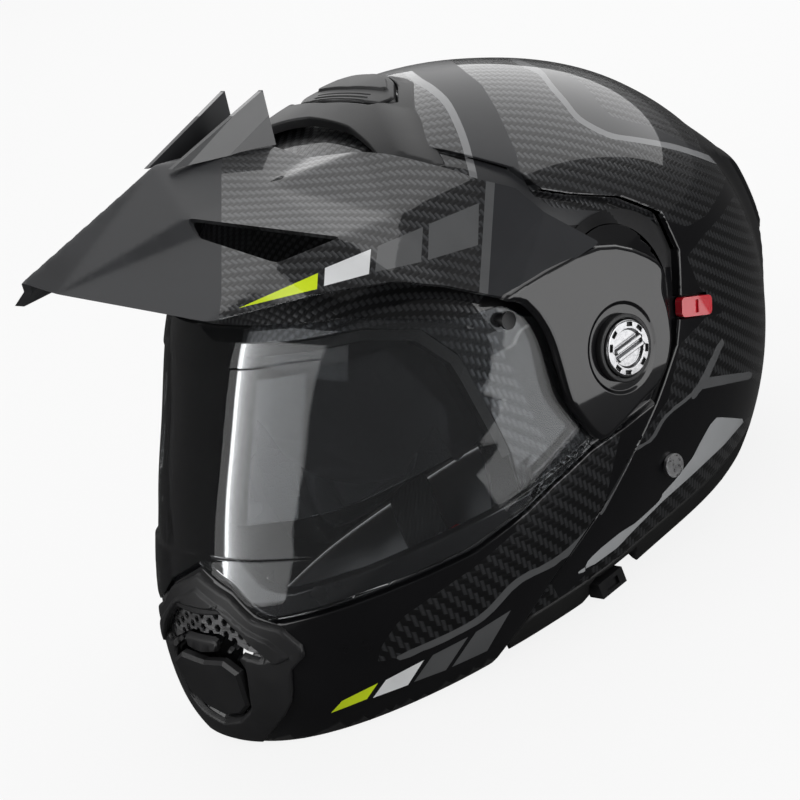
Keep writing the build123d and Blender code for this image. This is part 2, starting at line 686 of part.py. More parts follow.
# Chin padding, fabric skirt and breath deflector inside the chin bar
liner_top_shares = (
    (-1.10, -1.005), (-1.08, -0.98), (-0.89, -0.85), (-0.73, -0.58), (-0.92, -0.50), (-2.4, -0.50),
    (-2.4, -1.005),
)
vent_room_half = 42.0
with BuildPart() as chin_liner:
    ConvexPolyhedron(form_points(chin_kind, chin_in_half - seat_gap, chin_wall + seat_gap))
    add(
        form(chin_kind, chin_in_half - seat_gap - liner_skin, chin_wall + seat_gap + liner_skin),
        mode=Mode.SUBTRACT,
    )
    outline_cut(sized(liner_top_shares), side_plane)
    block((-vent_room_half, -far, -far), (vent_room_half, -form_size, far), Mode.SUBTRACT)
save(chin_liner.part, "chin_liner")

skirt_thickness = 2.0
skirt_lift = 5.0
skirt_half = 92.0
skirt_reach = 92.0
skirt_middle = -62.0
with BuildPart() as chin_curtain:
    ConvexPolyhedron(form_points(chin_kind, chin_in_half - seat_gap, chin_wall + release_wall + seat_gap))
    with BuildSketch(top_plane.offset(skirt_lift - base_drop)):
        with Locations((0, -far - form_size)):
            Rectangle(2 * far, 2 * far)
        with Locations((0, skirt_middle)):
            Ellipse(skirt_half, skirt_reach, mode=Mode.SUBTRACT)
        gap_half = release_half + release_wall + seat_gap
        gap_back = release_back + release_wall + seat_gap
        with Locations((0, gap_back - far)):
            Rectangle(2 * gap_half, 2 * far, mode=Mode.SUBTRACT)
    extrude(amount=skirt_thickness, mode=Mode.INTERSECT)
save(chin_curtain.part, "chin_curtain")

deflector_shares = (
    (-1.72, -0.32), (-1.64, -0.32), (-1.50, -0.12), (-1.42, -0.06), (-1.43, -0.04), (-1.54, -0.09),
    (-1.68, -0.20),
)
deflector_half = 30.0
with BuildPart() as breath_deflector:
    outline_cut(sized(deflector_shares), side_plane, Mode.ADD, low=-deflector_half, high=deflector_half)
    ConvexPolyhedron(
        form_points(chin_kind, chin_in_half, chin_wall + seat_gap), mode=Mode.INTERSECT
    )
save(breath_deflector.part, "breath_deflector")

# Chin vent: cover, mesh and slider
cover_rise = 3.0
cover_gap = 0.5
mesh_wall = 1.4
mesh_hole = 4.0
mesh_pitch = 5.6
mesh_columns = 13
mesh_rows = 3
cover_outline = mirrored(sized(vent_cover_shares))
with BuildPart() as cover_form:
    ConvexPolyhedron(form_points(chin_kind, chin_half + cover_rise, -cover_rise))
    outline_cut(cover_outline, front_plane, low=form_size, high=far)
with BuildPart() as chin_vent_housing:
    add(cover_form.part)
    add(chin_outside, mode=Mode.SUBTRACT)
    outline_cut(mirrored(sized(mesh_shares)), front_plane, Mode.SUBTRACT, low=form_size, high=far)
    for lift in (0.0, vent_slider_travel):
        moved = [(x, z + lift) for x, z in slider_outline]
        outline_cut(moved, front_plane, Mode.SUBTRACT, low=form_size, high=far, inset=-vent_slider_margin)
save(chin_vent_housing.part, "chin_vent_housing")

with BuildPart() as chin_vent_mesh:
    ConvexPolyhedron(form_points(chin_kind, chin_half, 0.0))
    add(form(chin_kind, chin_half - mesh_wall, mesh_wall), mode=Mode.SUBTRACT)
    outline_cut(mirrored(sized(mesh_shares)), front_plane, low=form_size, high=far, inset=seat_gap / 2)
    with BuildSketch(front_plane.offset(form_size)):
        with Locations((0, -form_size / 2)):
            with HexLocations(mesh_pitch / 2, mesh_columns, mesh_rows):
                RegularPolygon(mesh_hole / 2, 6)
        with BuildLine():
            Polyline(*mirrored(sized(mesh_shares)), close=True)
        make_face(mode=Mode.INTERSECT)
    extrude(amount=far, mode=Mode.SUBTRACT)
save(chin_vent_mesh.part, "chin_vent_mesh")

slider_rise = 4.6
with BuildPart() as chin_vent_slider:
    slider_seat = seat_gap - vent_floor
    outline_cut(slider_outline, front_plane, Mode.ADD, low=slider_seat, high=slider_rise - vent_floor)
    chamfer(faces().sort_by(Axis.Y)[0].edges(), slider_rise / 3)
save(chin_vent_slider.part, "chin_vent_slider")

# Clear face shield with its lip and the posts for the inner lens
pin_back = -43.0
pin_rise = 37.0
pin_radius = 2.5
pin_head_radius = 4.0
pin_in = 109.2
pin_out = 114.6
pin_head = 1.4
shield_hub_radius = 21.0
lip_rise = 1.6
insert_gap = 0.4
insert_wall = 0.9
insert_shares = (
    (-0.86, -0.08), (-0.78, 0.10), (-0.84, 0.44), (-2.4, 0.44), (-2.4, -0.05), (-1.30, -0.12),
)
shield_outside = form(chin_kind, shield_half)
with BuildPart() as lip_form:
    ConvexPolyhedron(form_points(chin_kind, shield_half + lip_rise, -lip_rise))
    outline_cut(sized(lip_band_shares), side_plane)
with BuildPart() as hub_form:
    add(shield_outside)
    with BuildSketch(side_plane.offset(-far)):
        Circle(shield_hub_radius)
    extrude(amount=2 * far, mode=Mode.INTERSECT)
with BuildPart() as face_shield:
    add(shield_outside)
    outline_cut(sized(shield_outline_shares), side_plane)
    add(hub_form.part)
    add(lip_form.part)
    add(form(chin_kind, shield_in_half, shield_wall), mode=Mode.SUBTRACT)
    outline_cut(mirrored(sized(notch_shares)), front_plane, Mode.SUBTRACT, low=form_size, high=far)
    disc(0.0, 0.0, post_radius + fit_gap, -far, far, Mode.SUBTRACT)
    disc(pin_back, pin_rise, pin_radius + fit_gap, -far, far, Mode.SUBTRACT)
save(face_shield.part, "face_shield")

with BuildPart() as shield_insert:
    ConvexPolyhedron(form_points(chin_kind, shield_in_half - insert_gap, shield_wall + insert_gap))
    add(
        form(chin_kind, shield_in_half - insert_gap - insert_wall, shield_wall + insert_gap + insert_wall),
        mode=Mode.SUBTRACT,
    )
    outline_cut(sized(insert_shares), side_plane)
save(shield_insert.part, "shield_insert")

with BuildPart() as shield_pins:
    for side in (1, -1):
        steps = ((pin_radius, pin_in, pin_out), (pin_head_radius, pin_out, pin_out + pin_head))
        for radius, low, high in steps:
            start, end = sorted((side * low, side * high))
            disc(pin_back, pin_rise, radius, start, end)
save(shield_pins.part, "shield_pins")

# Peak: folded panels between corners given from the knob axis as shares of the form size
peak_corner_shares = {
    "tip": (0.0, -1.91, 1.32), "notch": (0.13, -1.846, 1.235), "corner": (0.76, -1.59, 0.99),
    "ridge": (0.0, -1.07, 1.45), "rear": (0.0, -0.55, 1.30), "rear_a": (0.20, -0.58, 1.29),
    "slot_front": (0.34, -1.23, 1.28), "slot_low": (0.40, -1.26, 1.204), "slot_end": (0.76, -1.164, 1.038),
    "slot_top": (0.88, -0.89, 1.02), "crease": (0.40, -0.825, 1.23), "edge_1": (0.34, -0.53, 1.21),
    "edge_2": (0.55, -0.42, 1.185), "edge_3": (0.67, -0.36, 1.144), "edge_4": (0.76, -0.32, 1.10),
    "side": (0.90, -0.60, 0.97), "edge_5": (0.91, -0.22, 0.99), "edge_6": (0.97, -0.174, 0.927),
    "edge_7": (1.07, -0.068, 0.828), "edge_8": (1.17, -0.047, 0.70), "edge_9": (1.29, 0.09, 0.48),
    "low_1": (0.947, -1.17, 0.90), "low_2": (1.07, -0.846, 0.79), "low_3": (1.143, -0.66, 0.67),
    "low_4": (1.20, -0.54, 0.57), "low_5": (1.29, -0.46, 0.50),
}
peak_panels = (
    ("tip", "notch", "slot_front", "ridge"),
    ("notch", "corner", "slot_end", "slot_low"),
    ("notch", "slot_low", "slot_front"),
    ("corner", "low_1", "slot_end"),
    ("low_1", "low_2", "slot_top", "slot_end"),
    ("ridge", "slot_front", "crease", "rear_a"),
    ("ridge", "rear_a", "rear"),
    ("rear_a", "crease", "edge_1"),
    ("slot_front", "slot_top", "crease"),
    ("crease", "slot_top", "side", "edge_2"),
    ("crease", "edge_2", "edge_1"),
    ("edge_2", "side", "edge_4", "edge_3"),
    ("side", "edge_5", "edge_4"),
    ("slot_top", "low_2", "low_3", "side"),
    ("side", "low_3", "edge_6", "edge_5"),
    ("low_3", "low_4", "edge_7", "edge_6"),
    ("low_4", "low_5", "edge_8", "edge_7"),
    ("low_5", "edge_9", "edge_8"),
)
peak_skin = 4.0
peak_focus_shares = (0.0, -0.50, 0.30)
fin_shares = ((0.14, -1.106, 1.43), (0.22, -0.62, 1.28), (0.24, -0.58, 1.563))
fin_thickness = 3.0


def peak_corner(name, sink=0.0):
    """Corner of the peak, sunk towards a point inside for the underside."""
    point = Vector(*[c * form_size for c in peak_corner_shares[name]])
    focus = Vector(*[c * form_size for c in peak_focus_shares])
    return point + (focus - point).normalized() * sink


with BuildPart() as peak:
    for panel in peak_panels:
        corners = [peak_corner(name, sink) for name in panel for sink in (0.0, peak_skin)]
        for side in (1, -1):
            ConvexPolyhedron([place(side * c.X, c.Y, c.Z) for c in corners])
    for side in (1, -1):
        ConvexPolyhedron([
            place(side * (x * form_size + shift), y * form_size, z * form_size)
            for x, y, z in fin_shares for shift in (0.0, fin_thickness)
        ])
        start, end = sorted((side * plate_in, side * plate_out))
        outline_cut(sized(plate_shares), side_plane, Mode.ADD, low=start, high=end)
        disc(0.0, 0.0, knob_shaft_radius + fit_gap, start, end, Mode.SUBTRACT)
save(peak.part, "peak")

# Knobs with their rings on the side plates
knob_base_gap = 0.3
with BuildPart() as knob_rings:
    for side in (1, -1):
        start, end = sorted((side * plate_out, side * (plate_out + ring_rise)))
        disc(0.0, 0.0, ring_radius, start, end)
        disc(0.0, 0.0, knob_radius + ring_gap, start, end, Mode.SUBTRACT)
save(knob_rings.part, "knob_rings")

for side_name, side in (("left", 1), ("right", -1)):
    with BuildPart() as side_knob:
        cap_in = plate_out + knob_base_gap
        start, end = sorted((side * (chin_arm_flat + seat_gap), side * cap_in))
        disc(0.0, 0.0, knob_shaft_radius, start, end)
        start, end = sorted((side * cap_in, side * (cap_in + knob_rise)))
        disc(0.0, 0.0, knob_radius, start, end)
        start, end = sorted((side * (cap_in + knob_rise), side * (cap_in + knob_rise + grip_rise)))
        with BuildSketch(side_plane.offset(start)):
            Rectangle(grip_length, grip_width)
        extrude(amount=end - start)
    save(side_knob.part, f"side_knob_{side_name}")

# Chin strap with its buckle, closed under the chin
strap_shares = (
    (1.065, 0.12, -0.66), (1.05, 0.12, -0.80), (0.99, 0.12, -0.92), (0.80, 0.04, -0.94),
    (0.45, -0.20, -0.97), (0.22, -0.34, -0.99),
)
for side_name, side in (("left", 1), ("right", -1)):
    with BuildPart() as chin_strap:
        route = [
            place(side * x * form_size, y * form_size, z * form_size) for x, y, z in strap_shares
        ]
        ribbon(route, strap_width, strap_thickness, (0, 1, 0))
    save(chin_strap.part, f"chin_strap_{side_name}")

buckle_back = -34.0
buckle_drop = 99.0
buckle_start = -13.0
buckle_end = 21.7
buckle_width = 26.0
buckle_height = 8.0
buckle_gap = 0.3
tongue_start = -21.7
tongue_end = 8.0
tongue_thickness = 2.6
tongue_width = 15.0
arm_start = -10.0
arm_pin = 15.0
arm_width = 20.0
arm_rise = 3.4
arm_sink = 2.0
arm_round = 1.6
buckle_top = buckle_height / 2 - buckle_drop
arm_middle = buckle_top - arm_sink + arm_round + buckle_gap
buckle_plane = Plane(origin=(0, pivot_y + buckle_back, pivot_z), x_dir=(1, 0, 0), z_dir=(0, -1, 0))
with BuildPart() as buckle_housing:
    block(
        (buckle_start, buckle_back - buckle_width / 2, -buckle_height / 2 - buckle_drop),
        (buckle_end, buckle_back + buckle_width / 2, buckle_top),
    )
    tongue_room = tongue_width / 2 + buckle_gap
    block(
        (-far, buckle_back - tongue_room, -tongue_thickness / 2 - buckle_gap - buckle_drop),
        (tongue_end + buckle_gap, buckle_back + tongue_room, tongue_thickness / 2 + buckle_gap - buckle_drop),
        Mode.SUBTRACT,
    )
    arm_room = arm_width / 2 + buckle_gap
    block(
        (-far, buckle_back - arm_room, buckle_top - arm_sink),
        (arm_pin + arm_round + buckle_gap, buckle_back + arm_room, 0.0),
        Mode.SUBTRACT,
    )
save(buckle_housing.part, "buckle_housing")

with BuildPart() as buckle_tongue:
    block(
        (tongue_start, buckle_back - tongue_width / 2, -tongue_thickness / 2 - buckle_drop),
        (tongue_end, buckle_back + tongue_width / 2, tongue_thickness / 2 - buckle_drop),
    )
save(buckle_tongue.part, "buckle_tongue")

with BuildPart() as buckle_lever:
    with BuildSketch(buckle_plane.offset(-arm_width / 2)):
        with Locations((arm_pin, arm_middle)):
            Circle(arm_round)
        with Locations(((arm_start + arm_pin) / 2, arm_middle - arm_round + arm_rise / 2)):
            Rectangle(arm_pin - arm_start, arm_rise)
    extrude(amount=arm_width)
save(buckle_lever.part, "buckle_lever")

print("built", len(os.listdir("parts")))
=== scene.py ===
import json
import math

import bmesh
import bpy
import numpy as np
from mathutils import Matrix, Vector


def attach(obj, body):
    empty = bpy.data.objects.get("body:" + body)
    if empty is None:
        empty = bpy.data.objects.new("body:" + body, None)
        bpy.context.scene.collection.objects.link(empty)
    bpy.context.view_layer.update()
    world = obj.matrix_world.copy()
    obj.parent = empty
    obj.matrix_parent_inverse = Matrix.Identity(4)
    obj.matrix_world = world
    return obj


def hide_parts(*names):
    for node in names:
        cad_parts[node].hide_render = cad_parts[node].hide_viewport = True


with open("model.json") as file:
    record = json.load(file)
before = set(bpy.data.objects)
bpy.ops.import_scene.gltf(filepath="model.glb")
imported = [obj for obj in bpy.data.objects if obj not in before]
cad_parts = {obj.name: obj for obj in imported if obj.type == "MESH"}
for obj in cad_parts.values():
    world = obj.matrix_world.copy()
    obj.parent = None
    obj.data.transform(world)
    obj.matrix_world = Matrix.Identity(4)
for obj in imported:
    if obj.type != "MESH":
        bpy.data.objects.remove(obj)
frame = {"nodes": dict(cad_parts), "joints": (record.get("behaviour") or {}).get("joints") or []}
bpy.context.scene.view_settings.view_transform = "Standard"
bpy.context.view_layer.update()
nodes = frame["nodes"]

# Every place below is in millimetres from the knob axis: x to the wearer's left, y back, z up
MM = 0.001
joint_at = {j["name"]: Vector(j["pos_m"]) / MM for j in frame["joints"]}
pivot = np.array(joint_at["shield_hinge"])
floor_z = -float(pivot[2])

# Helmet forms: reach and fullness by angle, 0 forward, 90 up, 180 back
shell_reach = (
    (-90, 160), (-60, 188), (-40, 202), (-18, 178), (10, 132), (40, 120), (70, 118), (95, 121), (125, 131.5),
    (150, 148), (170, 162), (190, 169), (210, 170), (225, 168), (240, 164),
)
shell_fullness = ((-90, 2.3), (-50, 1.95), (-25, 1.6), (10, 1.7), (45, 2.2), (90, 2.4), (180, 2.5))
chin_reach = (
    (-90, 165), (-60, 190), (-42, 212), (-30, 214), (-18, 192), (-6, 164), (10, 140), (30, 128), (50, 124),
    (90, 124), (130, 130), (180, 140), (230, 140),
)
chin_fullness = ((-90, 2.3), (-50, 1.9), (-25, 1.55), (5, 1.58), (30, 1.8), (60, 2.1), (180, 2.4))
barrel_reach = ((0, 112), (90, 112), (180, 112), (270, 112))
barrel_fullness = ((0, 2.2), (90, 2.2), (180, 2.2), (270, 2.2))
sweep_power = 2.2
flat_share = 0.985
end_rings = 5

# Layers, outwards
shell_half, recess_half, shell_wall = 125.0, 118.5, 3.5
chin_in_half, chin_arm_half, chin_half, chin_wall = 119.5, 122.7, 126.0, 8.0
shield_in_half, shield_half, shield_wall = 123.6, 125.8, 2.2
arm_inset, swing_gap, seat_gap = 3.1, 1.0, 0.3
plate_in, plate_out = 125.113, 129.113
rim_top = -96.0


def curve_of(rows):
    """Smooth closed curve through (angle, value) rows."""
    angles = np.array([a for a, _ in rows], float)
    values = np.array([v for _, v in rows], float)
    count = len(rows)

    def at(angle):
        turn = (np.asarray(angle, float) - angles[0]) % 360 + angles[0]
        first = np.searchsorted(angles, turn, side="right") - 1
        around = []
        for step in (-1, 0, 1, 2):
            laps, i = np.divmod(first + step, count)
            around.append((angles[i] + 360 * laps, values[i]))
        (a0, v0), (a1, v1), (a2, v2), (a3, v3) = around
        t = (turn - a1) / (a2 - a1)
        slope_1 = (v2 - v0) / (a2 - a0) * (a2 - a1)
        slope_2 = (v3 - v1) / (a3 - a1) * (a2 - a1)
        rise = t * t * (3 - 2 * t)
        return (1 - rise) * v1 + rise * v2 + t * (1 - t) * ((1 - t) * slope_1 - t * slope_2)

    return at


shell_kind = (curve_of(shell_reach), curve_of(shell_fullness))
chin_kind = (curve_of(chin_reach), curve_of(chin_fullness))
barrel_kind = (curve_of(barrel_reach), curve_of(barrel_fullness))


def on_form(kind, params, half, inset):
    """Points of a form from (share, angle, scale) rows."""
    share, angle, scale = params.T
    reach, fullness = kind
    spread = np.maximum(0.0, 1 - np.abs(share) ** sweep_power)
    r = (reach(angle) - inset) * spread ** (1 / fullness(angle)) * scale
    turn = np.radians(angle)
    return np.stack([share * half, -r * np.cos(turn), r * np.sin(turn)], 1)


# Fields: a distance in millimetres for every point, above zero inside
def smooth_line(points, closed=False, steps=6):
    """More points on a smooth curve through the given ones."""
    p = np.array(points, float)
    count = len(p)
    out = []
    spans = count if closed else count - 1
    for i in range(spans):
        four = [p[(i + k) % count] if closed else p[min(max(i + k, 0), count - 1)] for k in (-1, 0, 1, 2)]
        for step in range(steps):
            t = step / steps
            a, b, c, d = four
            out.append(
                0.5 * ((2 * b) + (c - a) * t + (2 * a - 5 * b + 4 * c - d) * t ** 2
                       + (3 * b - a - 3 * c + d) * t ** 3)
            )
    if not closed:
        out.append(p[-1])
    return [tuple(q) for q in out]


def distance_to(points, u, v, closed):
    a = np.array(points, float)
    b = np.roll(a, -1, 0)
    if not closed:
        a, b = a[:-1], b[:-1]
    q = np.stack([u, v], -1)[:, None]
    edge = b - a
    rel = q - a
    t = np.clip((rel * edge).sum(-1) / np.maximum((edge ** 2).sum(-1), 1e-9), 0, 1)
    return np.linalg.norm(rel - t[..., None] * edge, axis=-1).min(1)


def polygon(points, u, v):
    """Signed distance inside a closed outline."""
    a = np.array(points, float)
    b = np.roll(a, -1, 0)
    crosses = (a[:, 1] > v[:, None]) != (b[:, 1] > v[:, None])
    rise = np.where(np.abs(b[:, 1] - a[:, 1]) < 1e-9, 1e-9, b[:, 1] - a[:, 1])
    left = u[:, None] < (b[:, 0] - a[:, 0]) * (v[:, None] - a[:, 1]) / rise + a[:, 0]
    inside = (crosses & left).sum(1) % 2 == 1
    away = distance_to(points, u, v, True)
    return np.where(inside, away, -away)


def side(points):
    return lambda x, y, z: polygon(points, y, z)


def side_line(points, width):
    return lambda x, y, z: width / 2 - distance_to(points, y, z, False)


def front(points, before=-60.0):
    """Inside a front-view outline whose right half is given, on the front of the helmet only."""
    whole = list(points) + [(-u, v) for u, v in reversed(points) if u]
    return lambda x, y, z: np.minimum(polygon(whole, x, z), before - y)


def above(level):
    return lambda x, y, z: z - level


def either(*fields):
    return lambda x, y, z: np.maximum.reduce([f(x, y, z) for f in fields])


def both(*fields):
    return lambda x, y, z: np.minimum.reduce([f(x, y, z) for f in fields])


def outside(field):
    return lambda x, y, z: -field(x, y, z)


def wearer_left(field):
    return lambda x, y, z: np.minimum(field(x, y, z), x)


# Camera at the viewing angle of the photograph, matched on the knob, the vents and the outline
view_azimuth, view_elevation, view_roll = 56.183, 21.178, 22.271
focal_pixels, frame_pixels = 3000.0, 800.0
view_scale = 2.265
anchor, anchor_pixel = np.array([132.0, 0.0, 0.0]), (627.0, 348.0)
az, el, roll = (math.radians(a) for a in (view_azimuth, view_elevation, view_roll))
view_back = np.array([math.sin(az) * math.cos(el), -math.cos(az) * math.cos(el), math.sin(el)])
level_right = np.array([math.cos(az), math.sin(az), 0.0])
level_up = np.cross(view_back, level_right)
view_up = level_up * math.cos(roll) + level_right * math.sin(roll)
view_right = level_right * math.cos(roll) - level_up * math.sin(roll)
camera_at = (
    anchor
    - view_right * (anchor_pixel[0] - frame_pixels / 2) / view_scale
    + view_up * (anchor_pixel[1] - frame_pixels / 2) / view_scale
    + view_back * focal_pixels / view_scale
)


def seen_at(x, y, z):
    """Frame place of points on the wearer's left, and of mirror images of the right side's."""
    d = np.stack([np.abs(x), y, z], -1) - camera_at
    depth = -(d @ view_back)
    half_frame = frame_pixels / 2
    return half_frame + focal_pixels * (d @ view_right) / depth, half_frame - focal_pixels * (d @ view_up) / depth


def seen(points):
    """Inside an outline that is given by its place in the frame."""
    return lambda x, y, z: polygon(points, *seen_at(x, y, z)) / view_scale


def seen_line(points, width):
    return lambda x, y, z: width / 2 - distance_to(points, *seen_at(x, y, z), False) / view_scale


# Skins: faces over a form, cut along fields
class Skin:
    def __init__(self, params, faces, where):
        self.params = [tuple(p) for p in params]
        self.faces = [(tuple(f), 0) for f in faces]
        self.where = where
        self.reliefs = []
        self.edges = []
        self.facing = 1.0

    def raised(self):
        """Places of all points, with the reliefs."""
        params = np.array(self.params)
        half, inset, _ = self.lifts(params)
        return self.surface(params, half, inset)

    def values(self, field, lifted=False):
        places = self.raised() if lifted else self.where(np.array(self.params))
        return field(*places.T)

    def divide(self, field, keep=None, paint=None, over=None, lifted=False):
        """Cut the faces along a field's zero. keep drops one side and paint colours the inside."""
        value = self.values(field, lifted)
        value = np.where(np.abs(value) < 1e-4, 1e-4, value)
        inside = value > 0
        made = {}
        faces = []

        def crossing(a, b):
            key = (a, b) if a < b else (b, a)
            if key not in made:
                low, high = key
                t = value[low] / (value[low] - value[high])
                p, q = self.params[low], self.params[high]
                self.params.append(tuple(u + (v - u) * t for u, v in zip(p, q)))
                made[key] = len(self.params) - 1
            return made[key]

        for corners, old in self.faces:
            flags = [inside[c] for c in corners]
            colour = paint if paint is not None and (over is None or old in over) else old
            if all(flags):
                if keep != "out":
                    faces.append((corners, colour))
            elif not any(flags):
                if keep != "in":
                    faces.append((corners, old))
            else:
                ins, outs = [], []
                for i, here in enumerate(corners):
                    ahead = corners[(i + 1) % len(corners)]
                    (ins if inside[here] else outs).append(here)
                    if inside[here] != inside[ahead]:
                        cut = crossing(here, ahead)
                        ins.append(cut)
                        outs.append(cut)
                if keep != "out" and len(ins) > 2:
                    faces.append((tuple(ins), colour))
                if keep != "in" and len(outs) > 2:
                    faces.append((tuple(outs), old))
        self.faces = faces
        return self

    def trim(self, field, rounding=0.8):
        """Keep what lies inside, with a rounded edge."""
        self.divide(field, keep="in")
        if rounding:
            for part in (0.15 * rounding, 0.45 * rounding, rounding, rounding + 0.3):
                self.divide(lambda x, y, z: field(x, y, z) - part)
        self.edges.append((field, rounding))
        return self

    def relief(self, field, lift=(0.0, 0.0), width=1.2):
        """Raise the inside of a field by (half, inset) over a narrow slope."""
        for part in (-0.3, 0.0, width / 3, width * 2 / 3, width, width + 0.3):
            self.divide(lambda x, y, z: field(x, y, z) - part)
        self.reliefs.append((field, lift, width))
        return self

    def paint(self, field, colour, over=None):
        return self.divide(field, paint=colour, over=over, lifted=True)

    def paint_patch(self, points, colour):
        """Paint a small convex outline given by its place in the frame, with straight sides and sharp corners."""
        for (u0, v0), (u1, v1) in zip(points, points[1:] + points[:1]):
            length = math.hypot(u1 - u0, v1 - v0)

            def beside(x, y, z):
                u, v = seen_at(x, y, z)
                return ((u1 - u0) * (v - v0) - (v1 - v0) * (u - u0)) / length / view_scale

            self.divide(beside, lifted=True)
        place = self.raised()
        middles = np.array([place[list(corners)].mean(0) for corners, _ in self.faces])
        inside = seen(points)(*middles.T) > 0
        self.faces = [(corners, colour if now else old) for (corners, old), now in zip(self.faces, inside)]
        return self

    def swell(self, field, lift, width):
        """Raise the inside of a field softly, with no edge."""
        self.reliefs.append((field, lift, width))
        return self

    def lifts(self, params):
        """(half, inset) added at each point, and its distance from the nearest edge."""
        x, y, z = self.where(params).T
        half, inset = np.zeros(len(x)), np.zeros(len(x))
        for field, lift, width in self.reliefs:
            t = np.clip(field(x, y, z) / width, 0, 1)
            rise = t * t * (3 - 2 * t)
            half += lift[0] * rise
            inset += lift[1] * rise
        rim = np.full(len(x), 99.0)
        drop = np.zeros(len(x))
        for field, rounding in self.edges:
            away = field(x, y, z)
            rim = np.minimum(rim, away)
            if rounding:
                t = np.clip(away, 0, rounding)
                drop = np.maximum(drop, rounding - np.sqrt(np.maximum(rounding ** 2 - (rounding - t) ** 2, 0)))
        return half - drop * self.facing, inset + drop * self.facing, rim


def grid_faces(rows, wide):
    """Quads between the neighbours in a grid of points."""
    return [
        (i * wide + j, i * wide + j + 1, (i + 1) * wide + j + 1, (i + 1) * wide + j)
        for i in range(rows - 1) for j in range(wide - 1)
    ]


def form_skin(kind, half, inset, across=104, around=216):
    """Skin over a whole closed form, with both flat ends."""
    stations = [flat_share * math.sin(math.pi / 2 * (2 * i / across - 1)) for i in range(across + 1)]
    rows = [(-flat_share, k / end_rings) for k in range(end_rings)] + [(s, 1.0) for s in stations]
    rows += [(flat_share, 1 - k / end_rings) for k in range(1, end_rings + 1)]
    angles = [-90 + 360 * j / around for j in range(around + 1)]
    params = [(share, angle, scale) for share, scale in rows for angle in angles]
    skin = Skin(params, grid_faces(len(rows), len(angles)), lambda p: on_form(kind, p, half, inset))
    skin.surface = lambda p, h, n: on_form(kind, p, half + h, inset + n)
    skin.nudges = ([1e-4, 0, 0], [-1e-4, 0, 0], [0, 0.01, 0], [0, -0.01, 0])
    return skin


def outer_points(skin, params):
    half, inset, rim = skin.lifts(params)
    points = skin.surface(params, half, inset)
    points[:, 2] = np.maximum(points[:, 2], floor_z)
    return points, rim


def used_params(skin):
    """New index of each corner in use, and the corners' params."""
    used = sorted({c for f, _ in skin.faces for c in f})
    return {old: new for new, old in enumerate(used)}, np.array([skin.params[i] for i in used])


def closed_faces(skin, index, back_slot):
    """Front faces, the same behind them and a rim between, with their colours and the front's count."""
    count = len(index)
    faces = [[index[c] for c in corners] for corners, _ in skin.faces]
    colours = [colour for _, colour in skin.faces]
    sides = {}
    for ring, colour in zip(faces, colours):
        for i, here in enumerate(ring):
            ahead = ring[(i + 1) % len(ring)]
            sides.setdefault((min(here, ahead), max(here, ahead)), []).append((here, ahead, colour))
    front_count = len(faces)
    faces += [[i + count for i in reversed(ring)] for ring in faces[:front_count]]
    colours += [back_slot] * front_count
    for uses in sides.values():
        if len(uses) == 1:
            here, ahead, colour = uses[0]
            faces.append([ahead, here, here + count, ahead + count])
            colours.append(colour)
    return faces, colours, front_count


def mesh_of(name, places, faces, colours, materials, flat, edge):
    """Mesh in metres, with its materials, weave coordinates and distances from the nearest edge."""
    mesh = bpy.data.meshes.new(name)
    mesh.from_pydata(((places + pivot) * MM).tolist(), [], faces)
    weave = mesh.attributes.new("weave", "FLOAT_VECTOR", "POINT")
    weave.data.foreach_set("vector", np.concatenate([flat, flat]).astype(np.float32).ravel())
    to_edge = mesh.attributes.new("edge", "FLOAT", "POINT")
    to_edge.data.foreach_set("value", edge.astype(np.float32))
    for material in materials:
        mesh.materials.append(material)
    mesh.polygons.foreach_set("material_index", colours)
    return mesh


def add_piece(name, data):
    piece = bpy.data.objects.new(name, data)
    bpy.context.scene.collection.objects.link(piece)
    return piece


def solid(name, skin, backs, materials, back_material=None):
    """Closed piece: the skin in front, the backs' furthest surface behind it, and a rim between."""
    index, params = used_params(skin)
    top, rim = outer_points(skin, params)
    low = backs(params)
    low[:, 2] = np.maximum(low[:, 2], floor_z)
    a, b, c, d = (outer_points(skin, params + step)[0] for step in skin.nudges)
    normal = np.cross(a - b, c - d)
    size = np.linalg.norm(normal, axis=1)
    outward = top - low
    flip = np.sign((normal * outward).sum(1))
    normal = normal * flip[:, None] / np.maximum(size, 1e-12)[:, None]
    weak = size < 1e-9

    faces, colours, front_count = closed_faces(skin, index, len(materials) if back_material else 0)
    mesh = mesh_of(
        name, np.concatenate([top, low]), faces, colours, list(materials) + ([back_material] if back_material else []),
        on_weave(skin, params), np.concatenate([rim, rim * 0]),
    )
    work = bmesh.new()
    work.from_mesh(mesh)
    work.normal_update()
    facing = sum(f.normal.dot(Vector(outward[f.verts[0].index])) for f in list(work.faces)[:front_count:7])
    if facing < 0:
        bmesh.ops.reverse_faces(work, faces=list(work.faces))
    work.to_mesh(mesh)
    work.free()
    mesh.shade_smooth()
    mesh.set_sharp_from_angle(angle=math.radians(38))
    loops = np.zeros((len(mesh.loops), 3))
    vertex = np.zeros(len(mesh.loops), int)
    mesh.loops.foreach_get("vertex_index", vertex)
    for face in mesh.polygons[:front_count]:
        for loop in face.loop_indices:
            v = vertex[loop]
            if not weak[v]:
                loops[loop] = normal[v]
    mesh.normals_split_custom_set([tuple(n) for n in loops])
    return add_piece(name, mesh)


def smooth_outwards(mesh, angle):
    """Turn all faces outwards and smooth them below an angle."""
    work = bmesh.new()
    work.from_mesh(mesh)
    bmesh.ops.recalc_face_normals(work, faces=work.faces[:])
    work.to_mesh(mesh)
    work.free()
    mesh.shade_smooth()
    mesh.set_sharp_from_angle(angle=math.radians(angle))


